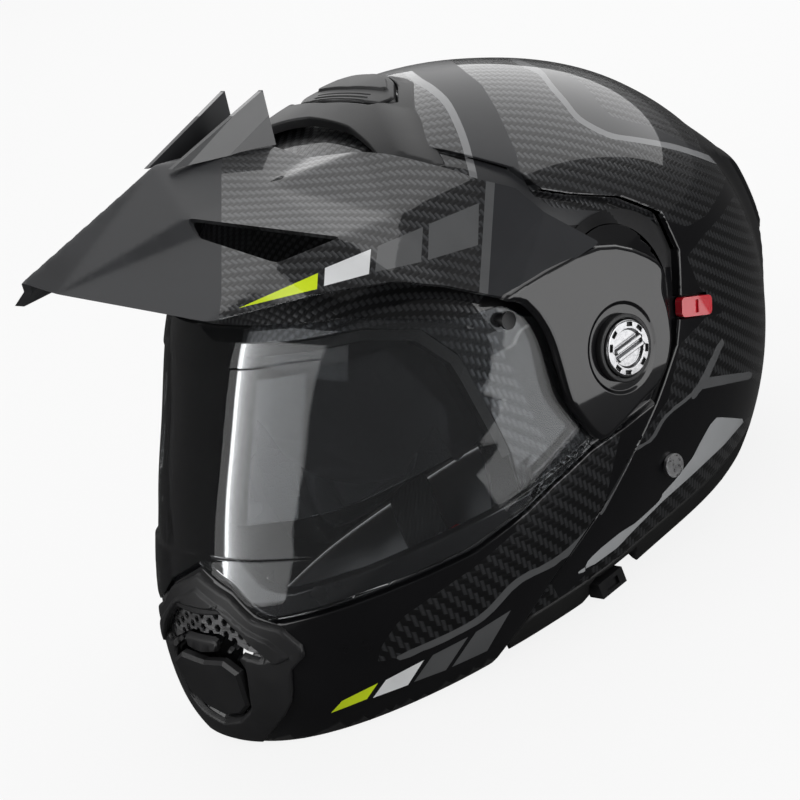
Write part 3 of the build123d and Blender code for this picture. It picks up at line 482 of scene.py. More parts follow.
def on_weave(skin, params):
    """Flat coordinates in millimetres for a weave: along y, and around the y axis."""
    x, y, z = skin.where(params).T
    around = 118 * np.arctan2(z - 20.0, np.abs(x) + 1e-6)
    return np.stack([y, around, x], 1)


def form_back(*layers):
    """Back of a piece on the furthest of some forms."""
    def back(params):
        kind, half, inset = layers[0]
        place = on_form(kind, params, half, inset)
        for other in layers[1:]:
            p = on_form(other[0], params, half, other[2])
            further = np.linalg.norm(p[:, 1:], axis=1) > np.linalg.norm(place[:, 1:], axis=1)
            place[further] = p[further]
        return place
    return back


# Materials
def new_material(name, colour, roughness=0.4, **sockets):
    material = bpy.data.materials.new(name)
    material.use_nodes = True
    shader = material.node_tree.nodes["Principled BSDF"]
    shader.inputs["Base Color"].default_value = (*colour, 1)
    shader.inputs["Roughness"].default_value = roughness
    for key, value in sockets.items():
        shader.inputs[key.replace("_", " ")].default_value = value
    return material, material.node_tree, shader


def add_node(tree, kind, **settings):
    made = tree.nodes.new(kind)
    for key, value in settings.items():
        setattr(made, key, value)
    return made


def math_node(tree, operation, *inputs):
    made = add_node(tree, "ShaderNodeMath", operation=operation)
    for i, value in enumerate(inputs):
        if isinstance(value, (int, float)):
            made.inputs[i].default_value = value
        else:
            tree.links.new(value, made.inputs[i])
    return made.outputs[0]


def noise(tree, scale, detail=3.0, roughness=0.5, vector=None):
    made = add_node(tree, "ShaderNodeTexNoise")
    made.inputs["Scale"].default_value = scale
    made.inputs["Detail"].default_value = detail
    made.inputs["Roughness"].default_value = roughness
    if vector is None:
        vector = add_node(tree, "ShaderNodeTexCoord").outputs["Object"]
    tree.links.new(vector, made.inputs["Vector"])
    return made.outputs["Fac"]


def mixed(tree, factor, low, high):
    """Colour between two, by a factor."""
    made = add_node(tree, "ShaderNodeMix", data_type="RGBA")
    for socket, value in ((made.inputs[6], low), (made.inputs[7], high)):
        if isinstance(value, tuple):
            socket.default_value = (*value, 1)
        else:
            tree.links.new(value, socket)
    tree.links.new(factor, made.inputs[0])
    return made.outputs[2]


def ramp(tree, value, low, high, start=0.0, end=1.0):
    made = add_node(tree, "ShaderNodeMapRange")
    made.inputs["From Min"].default_value = low
    made.inputs["From Max"].default_value = high
    made.inputs["To Min"].default_value = start
    made.inputs["To Max"].default_value = end
    tree.links.new(value, made.inputs["Value"])
    return made.outputs["Result"]


def bump(tree, shader, height, strength, distance):
    made = add_node(tree, "ShaderNodeBump")
    made.inputs["Strength"].default_value = strength
    made.inputs["Distance"].default_value = distance
    tree.links.new(height, made.inputs["Height"])
    tree.links.new(made.outputs["Normal"], shader.inputs["Normal"])


def shades(colour, by):
    return tuple(min(1.0, c * by) for c in colour)


def lacquer(name, colour, roughness=0.35, **sockets):
    """Sprayed colour under clear lacquer, with faint flow and dust in it and rubbed edges."""
    material, tree, shader = new_material(
        name, colour, roughness, Coat_Weight=1.0, Coat_Roughness=0.03, **sockets
    )
    cloud = noise(tree, 22.0, 4.0)
    speck = noise(tree, 900.0, 2.0)
    body = mixed(tree, ramp(tree, cloud, 0.3, 0.7), shades(colour, 0.86), shades(colour, 1.14))
    edge = add_node(tree, "ShaderNodeAttribute", attribute_name="edge").outputs["Fac"]
    rub = math_node(tree, "MULTIPLY", ramp(tree, edge, 0.0, 0.9, 1.0, 0.0), ramp(tree, cloud, 0.45, 0.75, 0.0, 0.35))
    worn = tuple(c + 0.05 for c in colour)
    tree.links.new(mixed(tree, rub, body, worn), shader.inputs["Base Color"])
    tree.links.new(ramp(tree, cloud, 0.2, 0.8, roughness * 0.85, roughness * 1.2), shader.inputs["Roughness"])
    bump(tree, shader, speck, 0.06, 0.0002)
    return material


def carbon(name, low, high):
    """Woven fibre, two over and two under, below clear lacquer. The tows on top get the lighter colour as a painted
    sheen, darkened across each tow as painted shade.
    """
    material, tree, shader = new_material(name, high, 0.32, Metallic=0.55, Coat_Weight=1.0, Coat_Roughness=0.03)
    cell = 2.0
    place = add_node(tree, "ShaderNodeAttribute", attribute_name="weave").outputs["Vector"]
    split = add_node(tree, "ShaderNodeSeparateXYZ")
    tree.links.new(place, split.inputs[0])
    u = math_node(tree, "DIVIDE", split.outputs[0], cell)
    v = math_node(tree, "DIVIDE", split.outputs[1], cell)
    steps = math_node(tree, "ADD", math_node(tree, "FLOOR", u), math_node(tree, "FLOOR", v))
    turn = math_node(tree, "FLOORED_MODULO", steps, 4.0)
    over = math_node(tree, "LESS_THAN", turn, 1.5)
    humps = []
    for value in (u, v):
        part = math_node(tree, "SUBTRACT", math_node(tree, "FRACT", value), 0.5)
        square = math_node(tree, "MULTIPLY", part, part)
        humps.append(math_node(tree, "SUBTRACT", 1.0, math_node(tree, "MULTIPLY", square, 3.6)))
    choose = add_node(tree, "ShaderNodeMix", data_type="FLOAT")
    tree.links.new(over, choose.inputs[0])
    tree.links.new(humps[1], choose.inputs[2])
    tree.links.new(humps[0], choose.inputs[3])
    height = choose.outputs[0]
    fibres = add_node(tree, "ShaderNodeVectorMath", operation="MULTIPLY")
    tree.links.new(place, fibres.inputs[0])
    fibres.inputs[1].default_value = (1.0, 1.0, 0.2)
    strand = noise(tree, 1.6, 2.0, vector=fibres.outputs[0])
    # Painted sheen on the tows on top, with painted shade towards the sides of each tow
    painted_tow_sheen = math_node(tree, "MULTIPLY", over, ramp(tree, strand, 0.3, 0.7, 0.75, 1.1))
    painted_tow_sheen = math_node(tree, "MULTIPLY", painted_tow_sheen, height)
    tree.links.new(mixed(tree, painted_tow_sheen, low, high), shader.inputs["Base Color"])
    tree.links.new(ramp(tree, over, 0.0, 1.0, 0.42, 0.30), shader.inputs["Roughness"])
    bump(tree, shader, height, 0.35, 0.0003)
    return material


def moulded(name, colour, roughness=0.5, grain=1800.0, depth=0.12, **sockets):
    """Moulded plastic or rubber with a fine grain and slightly polished high spots."""
    material, tree, shader = new_material(name, colour, roughness, **sockets)
    cloud = noise(tree, 35.0, 3.0)
    fine = noise(tree, grain, 2.0)
    tree.links.new(
        mixed(tree, ramp(tree, cloud, 0.3, 0.7), shades(colour, 0.85), shades(colour, 1.2)),
        shader.inputs["Base Color"],
    )
    tree.links.new(ramp(tree, cloud, 0.25, 0.75, roughness * 0.88, roughness * 1.12), shader.inputs["Roughness"])
    bump(tree, shader, fine, depth, 0.0003)
    return material


def metal(name, colour, roughness=0.25, brushed=600.0):
    """Turned or plated metal with fine tool lines."""
    material, tree, shader = new_material(name, colour, roughness, Metallic=1.0)
    coords = add_node(tree, "ShaderNodeTexCoord").outputs["Object"]
    stretch = add_node(tree, "ShaderNodeVectorMath", operation="MULTIPLY")
    tree.links.new(coords, stretch.inputs[0])
    stretch.inputs[1].default_value = (0.05, 1.0, 1.0)
    lines = noise(tree, brushed, 2.0, vector=stretch.outputs[0])
    cloud = noise(tree, 60.0, 3.0)
    tree.links.new(mixed(tree, cloud, shades(colour, 0.9), shades(colour, 1.08)), shader.inputs["Base Color"])
    tree.links.new(ramp(tree, lines, 0.3, 0.7, roughness * 0.7, roughness * 1.3), shader.inputs["Roughness"])
    bump(tree, shader, lines, 0.08, 0.0001)
    return material


def knit(name, colour, pitch=0.0016, raised=0.5, sheen=0.35):
    """Fine knitted cloth with rows of loops and a soft nap. Its colour follows the height: painted shade in the
    hollows between loops and a painted highlight on their tops, with random tone from the nap.
    """
    material, tree, shader = new_material(name, colour, 0.9, Sheen_Weight=sheen, Sheen_Roughness=0.5)
    coords = add_node(tree, "ShaderNodeTexCoord").outputs["Object"]
    split = add_node(tree, "ShaderNodeSeparateXYZ")
    tree.links.new(coords, split.inputs[0])
    rows = math_node(tree, "SINE", math_node(tree, "MULTIPLY", split.outputs[2], 2 * math.pi / pitch))
    columns = math_node(
        tree, "SINE",
        math_node(tree, "MULTIPLY", math_node(tree, "ADD", split.outputs[0], split.outputs[1]), 2 * math.pi / pitch),
    )
    loops = math_node(tree, "MULTIPLY", rows, columns)
    nap = noise(tree, 1400.0, 3.0)
    height = math_node(tree, "ADD", math_node(tree, "MULTIPLY", loops, raised), nap)
    # Painted shade and highlight: colour darker in the loops' hollows and lighter on their tops, plus random tone from
    # the nap
    tree.links.new(
        mixed(tree, ramp(tree, height, -0.2, 1.4), shades(colour, 0.55), shades(colour, 1.5)),
        shader.inputs["Base Color"],
    )
    bump(tree, shader, height, 0.5, 0.0004)
    return material


def clear_plastic(name, tint, through, roughness=0.02):
    """Clear sheet: it lets light straight through and keeps its gloss at the edge angles."""
    material = bpy.data.materials.new(name)
    material.use_nodes = True
    tree = material.node_tree
    tree.nodes.clear()
    out = add_node(tree, "ShaderNodeOutputMaterial")
    see = add_node(tree, "ShaderNodeBsdfTransparent")
    shine = add_node(tree, "ShaderNodeBsdfGlossy")
    haze = add_node(tree, "ShaderNodeBsdfDiffuse")
    smear = noise(tree, 18.0, 5.0)
    tree.links.new(
        mixed(tree, ramp(tree, smear, 0.3, 0.8), tint, shades(tint, 0.96)), see.inputs["Color"]
    )
    tree.links.new(ramp(tree, smear, 0.3, 0.8, roughness * 0.6, roughness * 1.8), shine.inputs["Roughness"])
    haze.inputs["Color"].default_value = (0.7, 0.72, 0.75, 1)
    body = add_node(tree, "ShaderNodeMixShader")
    body.inputs[0].default_value = 1 - through
    tree.links.new(see.outputs[0], body.inputs[1])
    tree.links.new(haze.outputs[0], body.inputs[2])
    fresnel = add_node(tree, "ShaderNodeFresnel")
    fresnel.inputs["IOR"].default_value = 1.38
    whole = add_node(tree, "ShaderNodeMixShader")
    tree.links.new(fresnel.outputs[0], whole.inputs[0])
    tree.links.new(body.outputs[0], whole.inputs[1])
    tree.links.new(shine.outputs[0], whole.inputs[2])
    tree.links.new(whole.outputs[0], out.inputs["Surface"])
    return material


def foam(name, colour):
    """Expanded bead foam: pressed beads with faint seams."""
    material, tree, shader = new_material(name, colour, 0.85)
    cells = add_node(tree, "ShaderNodeTexVoronoi", feature="DISTANCE_TO_EDGE")
    cells.inputs["Scale"].default_value = 320.0
    tree.links.new(add_node(tree, "ShaderNodeTexCoord").outputs["Object"], cells.inputs["Vector"])
    seam = ramp(tree, cells.outputs["Distance"], 0.0, 0.12)
    tree.links.new(mixed(tree, seam, shades(colour, 0.5), shades(colour, 1.1)), shader.inputs["Base Color"])
    bump(tree, shader, seam, 0.4, 0.0004)
    return material


black = lacquer("black_lacquer", (0.005, 0.005, 0.006), 0.3, Specular_IOR_Level=0.15)
# Woven fibre: its second, lighter colour is the painted sheen of the tows on top
weave_dark = carbon("woven_fibre", (0.006, 0.006, 0.007), (0.060, 0.062, 0.066))
charcoal = lacquer("charcoal_lacquer", (0.022, 0.023, 0.026), 0.35, Specular_IOR_Level=0.2)
mid_grey = lacquer("grey_lacquer", (0.095, 0.097, 0.10), 0.35, Specular_IOR_Level=0.2)
light_grey = lacquer("light_grey_lacquer", (0.24, 0.243, 0.25), 0.35, Specular_IOR_Level=0.2)
silver = lacquer("silver_lacquer", (0.40, 0.41, 0.42), 0.35)
yellow = lacquer("yellow_lacquer", (0.68, 0.85, 0.01), 0.35, Specular_IOR_Level=0.2)
white = lacquer("white_lacquer", (0.85, 0.86, 0.87), 0.35, Specular_IOR_Level=0.2)
matte = moulded("matte_charcoal", (0.030, 0.031, 0.034), 0.45, 2200.0, 0.06)
soft_charcoal = moulded("satin_charcoal", (0.030, 0.031, 0.034), 0.33, 2200.0, 0.03)
satin = moulded("satin_black", (0.014, 0.014, 0.015), 0.42)
rubber = moulded("black_rubber", (0.012, 0.012, 0.012), 0.55, 900.0, 0.2)
red = lacquer("red_gloss", (0.60, 0.006, 0.02), 0.25)
chrome = metal("bright_plating", (0.42, 0.42, 0.43), 0.2)
steel = metal("turned_steel", (0.62, 0.62, 0.63), 0.34)
mesh_silver = metal("pressed_mesh", (0.72, 0.72, 0.73), 0.3)
pad_cloth = knit("pad_knit", (0.018, 0.019, 0.021))
liner_cloth = knit("grey_knit", (0.060, 0.061, 0.065), 0.0024)
webbing = knit("strap_webbing", (0.020, 0.020, 0.021), 0.0030, 0.9, 0.1)
bead_foam = foam("bead_foam", (0.022, 0.022, 0.023))
clear = clear_plastic("clear_sheet", (0.93, 0.94, 0.95), 0.985)
smoke = clear_plastic("smoked_sheet", (0.16, 0.165, 0.18), 0.99)

# Every skin starts out in colour 0, black
paints = [black, weave_dark, charcoal, mid_grey, light_grey, silver, yellow, white, matte, soft_charcoal]
BLACK, CARBON, CHARCOAL, GREY, LIGHT, SILVER, YELLOW, WHITE, MATTE, SATIN = range(10)


def dress(piece, body, node_names):
    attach(piece, body)
    if node_names:
        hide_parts(*node_names)
    return piece


def everywhere(x, y, z):
    return np.ones(len(x))


def top_view(points, over=60.0):
    """Inside a top-view outline whose right half is given, on the top of the helmet only."""
    whole = list(points) + [(-u, v) for u, v in reversed(points) if u]
    return lambda x, y, z: np.minimum(polygon(whole, x, y), z - over)


# Painted fields of the shell stop where it turns away from the camera
facing_slopes, facing_middle = (0.775, -0.321, 0.380), (15, 10)


def turned_here(x, y, z):
    along_x, along_y, along_z = facing_slopes
    return along_x * np.abs(x) + along_y * (y - facing_middle[0]) + along_z * (z - facing_middle[1])


def shown(points):
    return both(seen(points), turned_here)


def shown_line(points, width):
    return both(seen_line(smooth_line(points), width), turned_here)


# Outer shell with its sunk side and painted fields
full_zone = (
    (-99, -109), (-97, -107), (-64, -82), (-26, -60), (2, -42), (20, -29), (34, -18), (46, 0), (57, 18), (58, 36),
    (42, 52), (18, 66), (7, 74), (4, 86), (-12, 104), (-30, 150), (250, 150), (250, -150), (-130, -150),
)
shell_outline = (
    (-160, 60), (-86, 54), (-70, 46), (-63, 30), (-62, -20), (-66, -56), (-82, -82), (-102, -97), (-102, -130),
    (250, -130), (250, 160), (-160, 160),
)
shell = form_skin(shell_kind, recess_half, 0.0)
shell.trim(both(side(shell_outline), above(rim_top)), 0.8)
shell.relief(side(full_zone), (shell_half - recess_half, 0.0), 1.4)
lock_middle, lock_turn = (53.0, -8.5), math.radians(-24)
lock_half, lock_shift, lock_depth = (12.5, 5.5), 2.0, 5.8


def lock_room(x, y, z):
    """Inside the pocket of the lock slider."""
    u = (y - lock_middle[0]) * math.cos(lock_turn) + (z - lock_middle[1]) * math.sin(lock_turn) + lock_shift
    v = -(y - lock_middle[0]) * math.sin(lock_turn) + (z - lock_middle[1]) * math.cos(lock_turn)
    return np.minimum(np.minimum(lock_half[0] - np.abs(u), lock_half[1] - np.abs(v)), x - 60)


shell.relief(lock_room, (-lock_depth, 0.0), 0.8)

# Outlines of the painted fields, by their place in the frame
stripe_one = ((400, 66), (419, 81), (432, 89), (446, 102), (456, 120), (464, 140), (470, 162), (474, 180), (478, 220))
stripe_two = (
    (512, 58), (525, 65), (540, 72), (552, 87), (565, 102), (577, 117), (592, 127), (612, 136), (637, 140),
    (670, 146), (700, 155), (730, 167),
)
satin_edge = (
    (660, 219), (617, 212), (580, 210), (552, 207), (532, 195), (520, 172), (516, 152), (507, 132), (497, 110),
    (482, 85), (457, 65), (436, 50),
)
band_left = ((660, 219), (687, 227), (707, 215), (722, 190), (730, 167))
band_right = (
    (744, 179), (737, 190), (722, 215), (702, 237), (687, 257), (700, 289), (726, 313), (707, 316), (680, 345),
)
satin_field = stripe_one + ((600, 280), (640, 240)) + satin_edge
charcoal_field = stripe_two + (
    (700, 150), (652, 127), (632, 122), (612, 117), (600, 105), (585, 85), (560, 70), (530, 40),
)
black_band = band_left + band_right + ((668, 400), (640, 440), (560, 470), (480, 300), (560, 226))
# Thin grey line along the back: a painted reflection, which is also the edge of the black field behind it
rear_reflection_line = ((750, 185), (756, 200), (757, 230), (760, 252), (762, 267), (770, 280))
rear_field = rear_reflection_line + ((810, 290), (810, 150))
rear_field_low = 20
lower_field = (
    (698, 390), (751, 379), (770, 400), (746, 419), (724, 445), (690, 477), (663, 501), (636, 528), (600, 560),
    (560, 600), (540, 560), (600, 516), (627, 465), (633, 451), (651, 440), (666, 416), (690, 396),
)
sickle = (
    (746, 419), (724, 445), (690, 477), (663, 501), (636, 528), (617, 548), (570, 582), (595, 553), (617, 535),
    (636, 521), (656, 501), (676, 479), (693, 457), (700, 443), (710, 425), (717, 417),
)
fork_bar = ((704, 378), (753, 371), (751, 379), (698, 390))
fork_stem = ((721, 337), (725, 341), (709, 378), (696, 399), (690, 399), (696, 387), (704, 372))
fork_line = ((704, 378), (690, 396), (666, 416), (651, 440), (633, 451), (627, 465), (600, 516))
sickle_line = ((733, 435), (712, 468), (685, 513))
shell_fields = (
    (shown(satin_field), SATIN), (shown(charcoal_field), CHARCOAL), (shown(black_band), BLACK),
    (both(shown(rear_field), above(rear_field_low)), BLACK), (shown(lower_field), BLACK), (shown(sickle), SILVER),
    (shown(fork_bar), GREY), (shown(fork_stem), GREY),
)
# Painted lines; the thin grey one along the back is a painted reflection
shell_lines = (
    (fork_line, 1.5, GREY), (sickle_line, 0.5, BLACK), (rear_reflection_line, 0.9, GREY), (stripe_one, 3.3, LIGHT),
    (stripe_two, 2.4, LIGHT),
)
shell.paint(everywhere, CARBON)
for field, colour in shell_fields:
    shell.paint(field, colour)
for points, width, colour in shell_lines:
    shell.paint(shown_line(points, width), colour)
shell.paint(lock_room, BLACK)
shell_piece = solid("shell", shell, form_back((shell_kind, recess_half - shell_wall, shell_wall)), paints, satin)
dress(shell_piece, "helmet", ["outer_shell"])

# Rubber edge trim
trim_front = ((-97, -130), (-97, -109), (-79, -95), (250, -95), (250, -130))
lever_slot = side(((-45, -99.7), (-15, -99.7), (-15, -130), (-45, -130)))
trim = form_skin(shell_kind, shell_half, 0.0)
trim.trim(both(side(trim_front), above(floor_z), outside(above(rim_top - seat_gap)),
               outside(wearer_left(lever_slot))), 1.6)
trim_piece = solid("edge_trim", trim, form_back((shell_kind, shell_half - 6.5, 6.5)), [rubber])
dress(trim_piece, "helmet", ["shell_edge_trim"])

# Chin bar
chin_outline = (
    (-100, -108), (-64.6, -81.1), (-26.5, -59.1), (1.4, -41.2), (19.4, -28.2), (33.3, -17.3), (42, -2), (10, 40),
    (-1, 24), (-7, 15.5), (-30, 10), (-31, -22), (-54, -30), (-92, -38), (-140, -40), (-145, -10), (-240, -10),
    (-240, -108),
)
chin_flush = (
    (40, -150), (40, -33), (-31, -34), (-54, -39), (-70, -44), (-96, -49), (-250, -49), (-250, -150),
)
nose = ((0, -25), (22, -34), (34, -44), (46, -50), (46, -70), (0, -70))
ledge_top = ((0, 40), (140, 40), (140, -38), (48, -40), (37, -36), (25, -26), (15, -18), (0, -16))
vent_mouth = ((0, -44), (17, -43), (29, -52), (39, -63), (35, -64), (10, -54), (0, -54))
vent_cover = (
    (0, -28), (22, -36), (34, -46), (46, -51), (55, -64), (47, -70), (44, -84), (38, -91), (20, -105), (0, -105),
)
slider_open = ((0, -60.5), (17, -58.5), (26.5, -64), (26, -72), (23.2, -86.5), (13.6, -92.9), (0, -96))
chin_axis, hub_radius = (17.0, 18.0), 31.0


def hub(x, y, z):
    """Round end of each arm about the hinge."""
    round_end = hub_radius - np.hypot(y - chin_axis[0], z - chin_axis[1])
    return np.minimum(np.minimum(round_end, y + 1.0), np.abs(x) - 90)


chin = form_skin(chin_kind, chin_arm_half, arm_inset)
chin.trim(both(
    either(both(side(chin_outline), outside(front(ledge_top, -60.0))), hub),
    above(floor_z), outside(front(vent_mouth)), outside(front(slider_open)),
), 0.8)
chin.relief(either(side(chin_flush), front(nose, -100.0)), (chin_half - chin_arm_half, -arm_inset), 1.2)
# Painted fields of the chin bar, by their place in the frame
chin_stripe = ((400, 658), (476, 622), (517, 582), (553, 563), (578, 543), (602, 516))
chin_weave = (
    (370, 663), (400, 619), (476, 566), (512, 535), (545, 470), (575, 425), (600, 430), (624, 418),
) + chin_stripe[::-1]
chin_seam = ((624, 418), (517, 565))
chin_patches = (
    (((331, 713), (342, 701), (378, 683), (367, 699)), YELLOW),
    (((373, 698), (386, 680), (424, 660), (408, 685)), WHITE),
    (((414, 682), (433, 655), (468, 637), (446, 670)), GREY), (((452, 667), (476, 632), (511, 610), (487, 651)), GREY),
)
chin.paint(seen(chin_weave), CARBON)
chin.paint(seen_line(smooth_line(chin_stripe), 2.9), GREY)
chin.paint(seen_line(chin_seam, 0.5), BLACK)
for points, colour in chin_patches:
    chin.paint_patch(points, colour)
chin_piece = solid(
    "chin_bar_shell", chin,
    form_back((chin_kind, chin_in_half, chin_wall), (shell_kind, chin_in_half, -swing_gap)), paints, satin,
)
dress(chin_piece, "chin_guard", ["chin_bar"])

# Chin vent cover, with a raised lip below its mouth
vent_lip = ((0, -32), (20, -40), (31, -48), (41, -54), (49, -64), (41, -66), (27, -50.5), (15, -41), (0, -41))
cover_rise, lip_rise = 3.0, 1.4
cover = form_skin(chin_kind, chin_half, 0.0, 160, 320)
cover.trim(both(
    front(vent_cover, -100.0), above(floor_z), outside(front(vent_mouth)), outside(front(slider_open)),
), 1.2)
cover.reliefs.append((everywhere, (cover_rise, -cover_rise), 1.0))
cover.relief(front(vent_lip, -100.0), (lip_rise, -lip_rise), 1.6)
cover_piece = solid("chin_vent_cover", cover, form_back((chin_kind, chin_half, 0.0)), [satin])
dress(cover_piece, "chin_guard", ["chin_vent_housing"])

# Clear face shield
shield_outline = (
    (-12, -20), (-31, -33), (-54, -38), (-70, -43), (-96, -48), (-240, -48), (-240, 62), (-109, 66), (-89, 62),
    (-60, 46), (-40, 43), (-36, 36), (-14, 18), (0, 12), (0, -12),
)
lip_band = (
    (-31, -33), (-54, -38), (-70, -43), (-96, -48), (-240, -48), (-240, -5), (-150, -25), (-116, -38), (-85, -36),
    (-54, -33), (-31, -29),
)
notch = ((0, -24), (22, -33), (34, -43), (45, -49), (45, -90), (0, -90))
upper_band = ((-240, 62), (-109, 66), (-89, 62), (-60, 46), (-52, 38), (-92, 46), (-112, 50), (-240, 46))
shield_hub_radius, shield_bore = 21.0, 9.06
lip_lift, band_lift = 1.6, 0.7


def shield_hub(x, y, z):
    return np.minimum(shield_hub_radius - np.hypot(y, z), np.abs(x) - 60)


def off_bore(x, y, z):
    """Outside the bore about the knob axis, on the sides only."""
    return np.where(np.abs(x) > 90, np.hypot(y, z) - shield_bore, 99.0)


shield = form_skin(chin_kind, shield_half, 0.0)
shield.trim(both(either(side(shield_outline), shield_hub), outside(front(notch, -100.0)), off_bore), 0.6)
shield.relief(side(lip_band), (lip_lift, -lip_lift), 1.0)
shield.relief(side(upper_band), (band_lift, -band_lift), 1.0)
shield_piece = solid("clear_shield", shield, form_back((chin_kind, shield_in_half, shield_wall)), [clear])
dress(shield_piece, "shield", ["face_shield"])

# Smoked sun visor
visor_outline = (
    (-10, -10), (-55, -6), (-80, -22), (-140, -22), (-140, 110), (-86, 98), (-46, 52), (-30, 24), (-5, 9), (6, 8),
    (6, -8),
)
visor_edge = ((0, 18), (6, 12), (12, -1), (30, -13), (48, -18), (66, -18), (74, -9), (84, 2), (84, -120), (0, -120))
visor_half, visor_wall = 110.0, 2.0
visor = form_skin(barrel_kind, visor_half, 0.0)
visor.trim(both(side(visor_outline), outside(front(visor_edge, -58.0))), 0.6)
visor_piece = solid("smoked_visor", visor, form_back((barrel_kind, visor_half - visor_wall, visor_wall)), [smoke])
dress(visor_piece, "sun_visor_frame", ["sun_visor"])

# Peak: folded panels between corners
peak_corners = {
    "tip": (0, -191, 132), "notch": (13, -184.6, 123.5), "corner": (76, -159, 99), "ridge": (0, -107, 145),
    "rear": (0, -55, 130), "rear_a": (20, -58, 129), "slot_front": (34, -123, 128), "slot_low": (40, -126, 120.4),
    "slot_end": (76, -116.4, 103.8), "slot_top": (88, -89, 102), "crease": (40, -82.5, 123),
    "edge_1": (34, -53, 121), "edge_2": (55, -42, 118.5), "edge_3": (67, -36, 114.4), "edge_4": (76, -32, 110),
    "side": (90, -60, 97), "edge_5": (91, -22, 99), "edge_6": (97, -17.4, 92.7), "edge_7": (107, -6.8, 82.8),
    "edge_8": (117, -4.7, 70), "edge_9": (129, 9, 48), "low_1": (94.7, -117, 90), "low_2": (107, -84.6, 79),
    "low_3": (114.3, -66, 67), "low_4": (120, -54, 57), "low_5": (129, -46, 50),
}
peak_panels = (
    ("tip", "notch", "slot_front", "ridge"), ("notch", "corner", "slot_end", "slot_low"),
    ("notch", "slot_low", "slot_front"), ("corner", "low_1", "slot_end"), ("low_1", "low_2", "slot_top", "slot_end"),
    ("ridge", "slot_front", "crease", "rear_a"), ("ridge", "rear_a", "rear"), ("rear_a", "crease", "edge_1"),
    ("slot_front", "slot_top", "crease"), ("crease", "slot_top", "side", "edge_2"), ("crease", "edge_2", "edge_1"),
    ("edge_2", "side", "edge_4", "edge_3"), ("side", "edge_5", "edge_4"), ("slot_top", "low_2", "low_3", "side"),
    ("side", "low_3", "edge_6", "edge_5"), ("low_3", "low_4", "edge_7", "edge_6"),
    ("low_4", "low_5", "edge_8", "edge_7"), ("low_5", "edge_9", "edge_8"),
)
unworn = 9.0
peak_focus = np.array([0.0, -50.0, 30.0])
peak_skin = 4.0


def peak_mesh(spacing=3.0, rounds=2):
    """Fine triangles over both sides' panels, with the folds slightly softened."""
    work = bmesh.new()
    made = {}
    for side_sign in (1, -1):
        for name, (x, y, z) in peak_corners.items():
            if x == 0 and side_sign < 0:
                made[name, -1] = made[name, 1]
            else:
                made[name, side_sign] = work.verts.new((side_sign * x, y, z))
        for panel in peak_panels:
            ring = [made[name, side_sign] for name in panel]
            work.faces.new(ring if side_sign > 0 else ring[::-1])
    bmesh.ops.triangulate(work, faces=work.faces[:])
    for _ in range(5):
        long_edges = [e for e in work.edges if e.calc_length() > spacing]
        if not long_edges:
            break
        bmesh.ops.subdivide_edges(work, edges=long_edges, cuts=1)
        bmesh.ops.triangulate(work, faces=[f for f in work.faces if len(f.verts) > 3])
    for _ in range(rounds):
        moved = {}
        for v in work.verts:
            rim = [e for e in v.link_edges if e.is_boundary]
            around = [e.other_vert(v) for e in (rim if rim else v.link_edges)]
            middle = sum((o.co for o in around), Vector()) / len(around)
            moved[v] = v.co.lerp(middle, 0.35 if rim else 0.5)
        for v, co in moved.items():
            v.co = co
    work.verts.index_update()
    points = [tuple(v.co) for v in work.verts]
    faces = [tuple(v.index for v in f.verts) for f in work.faces]
    work.free()
    return points, faces


def plain_skin(points, faces):
    skin = Skin(points, faces, lambda p: p)
    skin.surface = lambda p, h, n: p
    return skin


def under_peak(params):
    to_focus = peak_focus - params
    return params + to_focus / np.linalg.norm(to_focus, axis=1)[:, None] * peak_skin


def plain_solid(name, skin, back, materials, back_material=None, angle=30.0):
    """Closed piece from a skin with its own corners."""
    index, params = used_params(skin)
    faces, colours, _ = closed_faces(skin, index, len(materials) if back_material else 0)
    mesh = mesh_of(
        name, np.concatenate([params, back(params)]), faces, colours,
        list(materials) + ([back_material] if back_material else []),
        on_weave(skin, params), np.full(2 * len(params), unworn),
    )
    smooth_outwards(mesh, angle)
    return add_piece(name, mesh)


peak = plain_skin(*peak_mesh())
peak.paint(everywhere, CARBON)
# Painted fields of the peak, by their place in the frame
peak_fields = (
    (((221.5, 100), (221.5, 297), (218, 325), (218, 360), (-80, 360), (-80, 100)), MATTE),
    (((489, 100), (486, 183), (479, 295), (479, 340), (760, 340), (760, 100)), CHARCOAL),
    (((486, 150), (495, 150), (495, 182), (488, 295), (487, 330), (478, 330), (479, 295), (486, 182)), GREY),
)
peak_patches = (
    (((239, 308), (318, 273), (317, 289)), YELLOW), (((325, 268), (371, 249), (369, 274), (324, 286)), WHITE),
    (((378, 246), (423, 227), (421, 262), (375, 272)), GREY), (((429, 224), (479, 203), (478, 245), (428, 260)), GREY),
)
for points, colour in peak_fields:
    peak.paint(seen(points), colour)
for points, colour in peak_patches:
    peak.paint_patch(points, colour)
peak_piece = plain_solid("peak_shell", peak, under_peak, paints, matte, 16.0)
dress(peak_piece, "chin_guard", ["peak"])


def facet_grid(corners, cells):
    """Fine triangles over one triangle."""
    a, b, c = (np.array(p, float) for p in corners)
    points, at = [], {}
    for i in range(cells + 1):
        for j in range(cells + 1 - i):
            at[i, j] = len(points)
            points.append(tuple(a + (b - a) * i / cells + (c - a) * j / cells))
    faces = []
    for i in range(cells):
        for j in range(cells - i):
            faces.append((at[i, j], at[i + 1, j], at[i, j + 1]))
            if i + j < cells - 1:
                faces.append((at[i + 1, j], at[i + 1, j + 1], at[i, j + 1]))
    return points, faces


